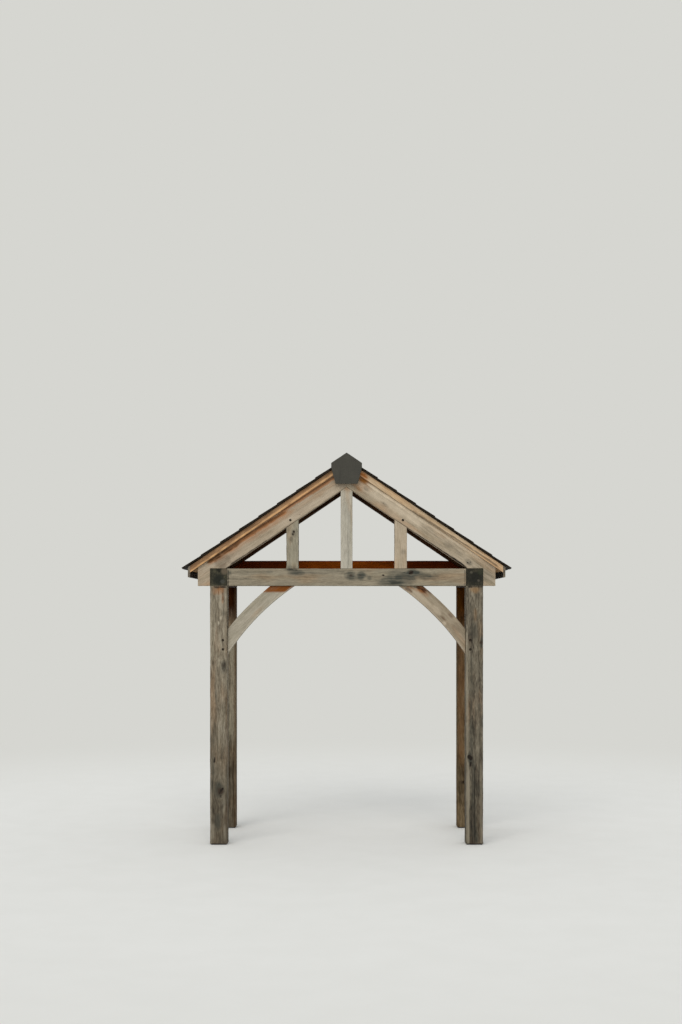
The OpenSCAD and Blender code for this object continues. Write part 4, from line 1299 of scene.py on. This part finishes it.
def build_verge(side, name):
    """Bargeboard up the slope and fascia along the eave."""
    tones = {"left": ((90, 66, 43), (142, 108, 77), (172, 138, 101)),
             "right": ((150, 122, 92), (186, 162, 131), (204, 182, 150))}
    # The bargeboards' orange colour is used only for the painted highlight strip on the left one.
    wood = oak(f"larch_{name}_bargeboard", down_slope(side), *tones[name], 0.8, 0.6, stain=(138, 84, 36),
               fresh=(238, 186, 128))
    node = f"{name}_bargeboard"
    front, _ = thickness(node)
    marks = marks_on(front, **(LEFT_VERGE if side < 0 else RIGHT_VERGE))
    # A bright strip along the left bargeboard's lower edge is a painted highlight.
    if side < 0:
        (down0, down1), _, (above0, _) = slope_range(coordinates(node))
        edge = np.linspace(down0 + 0.05, down1 - 0.05, 16)
        rise = above0 + HIGHLIGHT_RISE + HIGHLIGHT_RISE * (down1 - edge) / (down1 - down0)
        marks["fresh"] = [(place, 0.09, 0.0085, 1.0) for place in on_slope(side, edge, front, rise)]
    cut_timber(node, wood, "verge_timber", 80 + side, down_slope(side), marks, step=RING_STEP, arris=0.003,
               wander=0.0006, pith=(0, 0.1, 0.03), ending="_sawn")
    node = f"{name}_fascia"
    # The fascia is near black on its faces, painted shade for the dark under the eave; its end grain stays
    # grey-brown.
    wood = oak(f"larch_{name}_fascia", Y, (24, 18, 12), (40, 31, 22), (60, 48, 36), 0.8, 0.8,
               end=(112, 102, 88))
    timber_piece(node, swept(outline(node), *thickness(node)), Y, wood, "verge_timber", 90 + side,
                 arris=0.0025, wander=0.0005, pith=(0.1 * side, 0, 0.02), ending="_sawn")


# Slates and ridge

SLATE_THICK = 0.006
SLATE_REACH = 0.005
SLATE_GAUGE = 0.185
SLATE_LENGTH = 0.5
SLATE_WIDE = 4
SLATE_GAP = 0.003
SLATE_DRESS = 0.0022
SLATE_TOP = 0.03
SLATE_BED = 0.0003
SLATE_STEPS = (0.03, 0.035)
RIDGE_JOINT = 0.0002


def slate_part(side, tail, length, y0, y1, above, rise, rng, number):
    """One riven slate: tail and head distances down the slope, its edges dressed and its faces uneven."""
    across = max(3, round((y1 - y0) / SLATE_STEPS[0]))
    along = max(4, round(length / SLATE_STEPS[1]))
    rows, columns = np.meshgrid(np.linspace(0, 1, along + 1), np.linspace(0, 1, across + 1), indexing="ij")
    border = (rows == 0) | (rows == 1) | (columns == 0) | (columns == 1)
    skew = rng.uniform(-0.002, 0.002)
    down = tail - rows * length + (columns - 0.5) * skew
    y = y0 + columns * (y1 - y0)
    ragged = rng.normal(0, 0.0009, rows.shape)
    inset = SLATE_DRESS + ragged
    top_down = down + np.where(rows == 0, -SLATE_DRESS + ragged, 0) + np.where(rows == 1, SLATE_DRESS, 0)
    top_y = y + np.where(columns == 0, inset, 0) - np.where(columns == 1, inset, 0)
    lift = above - rise * rows
    riven = 0.0006 * noise(np.stack([top_down, top_y, np.full_like(y, number * 1.7)], -1), (14, 22, 1), 5, 3)
    top = on_slope(side, top_down, top_y, lift + SLATE_THICK + np.where(border, -0.0006, riven))
    top = top.reshape(-1, 3)
    low = on_slope(side, down + np.where(rows == 0, ragged, 0), y, lift)
    count = across + 1
    ring = [(0, c) for c in range(count)] + [(r, across) for r in range(1, along + 1)]
    ring += [(along, c) for c in range(across - 1, -1, -1)] + [(r, 0) for r in range(along - 1, 0, -1)]
    on_ring = tuple(np.transpose(ring))
    edge = [r * count + c for r, c in ring]
    base = len(top)
    faces = grid_faces(along, across, count)
    for n in range(len(ring)):
        after = (n + 1) % len(ring)
        faces.append([base + n, base + after, edge[after], edge[n]])
    faces.append([base + n for n in range(len(ring))][::-1])
    if side < 0:
        faces = [face[::-1] for face in faces]
    points = np.concatenate([top, low[on_ring]])
    blank = np.zeros(len(points))
    flat_down = np.concatenate([top_down.ravel(), down[on_ring]]) + number * 0.37
    flat_y = np.concatenate([top_y.ravel(), y[on_ring]])
    under = np.where(np.arange(len(points)) < base, 0, 1)
    return points, faces, {"place": np.stack([flat_down, flat_y, blank + number * 0.61], 1),
                           "own": np.stack([blank + rng.uniform(0.2, 0.8), under, blank], 1)}


def lay_slates():
    """Courses of single slates, each lapping two others, with a short course under the eave."""
    material = slate_material()
    slope = (SLATE_THICK + 0.0002) / SLATE_GAUGE
    for side, name in ((-1, "left"), (1, "right")):
        rng = np.random.default_rng(20 + side)
        (_, eave), (y0, y1), (above0, _) = slope_range(coordinates(f"{name}_slates"))
        width = (y1 - y0) / SLATE_WIDE
        top = above0 + slope * SLATE_LENGTH
        tail = eave + SLATE_REACH
        course = 0
        parts = []
        while tail > SLATE_TOP + 0.6 * SLATE_GAUGE:
            lengths = [SLATE_LENGTH] if course else [SLATE_LENGTH, SLATE_LENGTH - SLATE_GAUGE]
            for layer, length in enumerate(lengths):
                length = min(length, tail - SLATE_TOP)
                above = top if layer == 0 else top - SLATE_THICK - SLATE_BED
                shift = 0.5 * ((course + layer) % 2)
                edges = np.clip(y0 + (np.arange(SLATE_WIDE + 2) - shift) * width, y0, y1)
                edges = np.unique(np.round(edges, 6))
                for a, b in zip(edges[:-1], edges[1:]):
                    slip = 0 if layer else rng.uniform(-0.0015, 0.001)
                    high = above + rng.uniform(0, 0.0004)
                    parts.append(slate_part(side, tail + slip, length, a + SLATE_GAP * (a > y0) / 2,
                                            b - SLATE_GAP * (b < y1) / 2, high, slope * length, rng,
                                            len(parts)))
            tail -= SLATE_GAUGE
            course += 1
        join_parts(f"{name}_slates_laid", parts, material, "slate", f"{name}_slates", 25)


def prism(loop, y0, y1, seed, cut_x, cut_y, bevel, segments, rough):
    """A solid with one outline in X and Z, cut up finely, its edges rounded and its faces slightly uneven."""
    bm = bmesh.new()
    front = [bm.verts.new((x, y0, z)) for x, z in loop]
    back = [bm.verts.new((x, y1, z)) for x, z in loop]
    bm.faces.new(front)
    bm.faces.new(back[::-1])
    for n in range(len(loop)):
        after = (n + 1) % len(loop)
        bm.faces.new([front[after], front[n], back[n], back[after]])
    bmesh.ops.recalc_face_normals(bm, faces=bm.faces)
    bmesh.ops.bevel(bm, geom=list(bm.edges), offset=bevel, segments=segments, profile=0.6, affect="EDGES",
                    clamp_overlap=True)
    low, high = loop.min(0), loop.max(0)
    planes = [((0, y, 0), (0, 1, 0)) for y in np.arange(y0 + cut_y, y1 - 0.4 * cut_y, cut_y)]
    planes += [((x, 0, 0), (1, 0, 0)) for x in np.arange(low[0] + cut_x, high[0], cut_x)]
    planes += [((0, 0, z), (0, 0, 1)) for z in np.arange(low[1] + cut_x, high[1], cut_x)]
    for place, normal in planes:
        bmesh.ops.bisect_plane(bm, geom=list(bm.verts) + list(bm.edges) + list(bm.faces), dist=1e-5,
                               plane_co=place, plane_no=normal)
    points = np.array([v.co for v in bm.verts])
    normals = np.array([v.normal for v in bm.verts])
    points = points + normals * (rough * (noise(points, 24, seed, 3) - 0.3))[:, None]
    bm.verts.index_update()
    faces = [[v.index for v in face.verts] for face in bm.faces]
    bm.free()
    return points, faces, {}


def build_ridge():
    """Angled ridge tiles, the plate that closes their front end and the mortar under them."""
    ware = ridge_material()
    loop = outline("ridge_tiles")
    ends = sorted((solid[:, 1].min(), solid[:, 1].max()) for solid in solids_of("ridge_tiles"))
    parts = []
    for number, (start, end) in enumerate(ends):
        if number:
            start = (ends[number - 1][1] + start) / 2 + RIDGE_JOINT
        if number < len(ends) - 1:
            end = (end + ends[number + 1][0]) / 2 - RIDGE_JOINT
        parts.append(prism(loop, start, end, 31 + number, 0.05, 0.05, bevel=0.004, segments=2, rough=0.0008))
    join_parts("ridge_tiles_laid", parts, ware, "ridge", "ridge_tiles")
    node = "ridge_end_plate"
    plate = prism(outline(node), *thickness(node), 37, 0.02, 0.05, bevel=0.004, segments=3, rough=0.0008)
    join_parts("ridge_end_plate_cast", [plate], ware, "ridge", node)
    parts = []
    for number, solid in enumerate(solids_of("ridge_bedding")):
        y0, y1 = solid[:, 1].min(), solid[:, 1].max()
        front = solid[np.abs(solid[:, 1] - y0) < 1e-4][:, [0, 2]]
        centre = front.mean(0)
        order = np.argsort(np.arctan2(front[:, 1] - centre[1], front[:, 0] - centre[0]))
        parts.append(prism(front[order], y0, y1, 43 + number, 0.012, 0.012, bevel=0.0015, segments=1,
                           rough=0.0022))
    join_parts("ridge_bedding_mortar", parts, mortar_material(), "mortar", "ridge_bedding", 60)


def dress_shoes():
    """The steel shoes keep their CAD shape and get worn paint and eased edges."""
    steel = steel_material()
    for node in ("front_left_shoe", "front_right_shoe", "rear_left_shoe", "rear_right_shoe"):
        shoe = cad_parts[node]
        shoe.data.materials.clear()
        shoe.data.materials.append(steel)
        ease_edges = shoe.modifiers.new("eased_edges", "BEVEL")
        ease_edges.width, ease_edges.segments, ease_edges.limit_method = 0.001, 2, "ANGLE"


# Stage

BACKGROUND = (214, 214, 209)
FLOOR = (236, 235, 229)
FLOOR_CLOUD = (228, 227, 220)
FLOOR_REACH = 40.0
FADE_START = 3.0
FADE_END = 9.0
SKY_COLOUR = (0.93, 0.96, 1.0, 1.0)
SKY_STRENGTH = 0.68
SUN_WAY = Vector((0.2, 0.85, -0.5))
SUN_COLOUR = (1.0, 0.985, 0.96)
SUN_STRENGTH = 1.66
SUN_SOFTNESS = math.radians(60)
SUN_DISTANCE = 8


def build_floor():
    """A plain pale floor that fades into the background."""
    bm = bmesh.new()
    bmesh.ops.create_grid(bm, x_segments=8, y_segments=8, size=FLOOR_REACH)
    floor = bmesh_object("floor", bm)
    t = Tree("floor_pale")
    place = t.add("TexCoord").outputs["Object"]
    cloud = t.noise(place, 3.0, 4)
    colour = t.mix(t.map(cloud, 0.3, 0.7, 0.0, 0.25), FLOOR, FLOOR_CLOUD)
    far = t.map(t.vector("LENGTH", place), FADE_START, FADE_END)
    plain = t.shader(colour, cloud, 0.9, 0.001, 0.2, 0.2)
    t.over_background(far, plain, t.add("Emission", linear(BACKGROUND)), "OutputMaterial")
    floor.data.materials.append(t.owner)


def build_world():
    """Soft light from all round, and the plain background where it is seen."""
    t = Tree("soft_sky", bpy.data.worlds)
    bpy.context.scene.world = t.owner
    light = t.add("Background", SKY_COLOUR, SKY_STRENGTH)
    t.over_background(1.0, light.outputs[0], t.add("Background", linear(BACKGROUND)), "OutputWorld")


def build_sun():
    """A far lamp with soft shadows."""
    lamp = bpy.data.lights.new("key", "SUN")
    lamp.energy, lamp.angle, lamp.color = SUN_STRENGTH, SUN_SOFTNESS, SUN_COLOUR
    holder = bpy.data.objects.new("key", lamp)
    holder.location = SUN_WAY * -SUN_DISTANCE
    holder.rotation_mode = "QUATERNION"
    holder.rotation_quaternion = SUN_WAY.to_track_quat("-Z", "Y")
    bpy.context.scene.collection.objects.link(holder)


def build_camera():
    camera = bpy.data.cameras.new("photograph_view")
    camera.sensor_width = SENSOR
    camera.lens = FOCAL_PIXELS * SENSOR / PICTURE_LONG_SIDE
    camera.shift_x = (PICTURE_CENTRE[0] - VANISHING_POINT[0]) / PICTURE_LONG_SIDE
    camera.shift_y = (VANISHING_POINT[1] - PICTURE_CENTRE[1]) / PICTURE_LONG_SIDE
    holder = bpy.data.objects.new("photograph_view", camera)
    holder.location = (0, FRONT - EYE_DISTANCE, EYE_HEIGHT)
    holder.rotation_euler = (math.pi / 2, 0, 0)
    bpy.context.scene.collection.objects.link(holder)
    bpy.context.scene.camera = holder


pieces_to_bore = {}
build_front_posts(pieces_to_bore)
build_rear_posts()
build_truss()
build_braces()
build_rafters(pieces_to_bore)
cut_peg_holes(pieces_to_bore)
build_plates()
for side, name in ((-1, "left"), (1, "right")):
    build_boards(side, name)
    build_battens(side, name)
    build_verge(side, name)
lay_slates()
build_ridge()
dress_shoes()
build_floor()
build_world()
build_sun()
build_camera()
bpy.context.scene.view_settings.view_transform = "Standard"
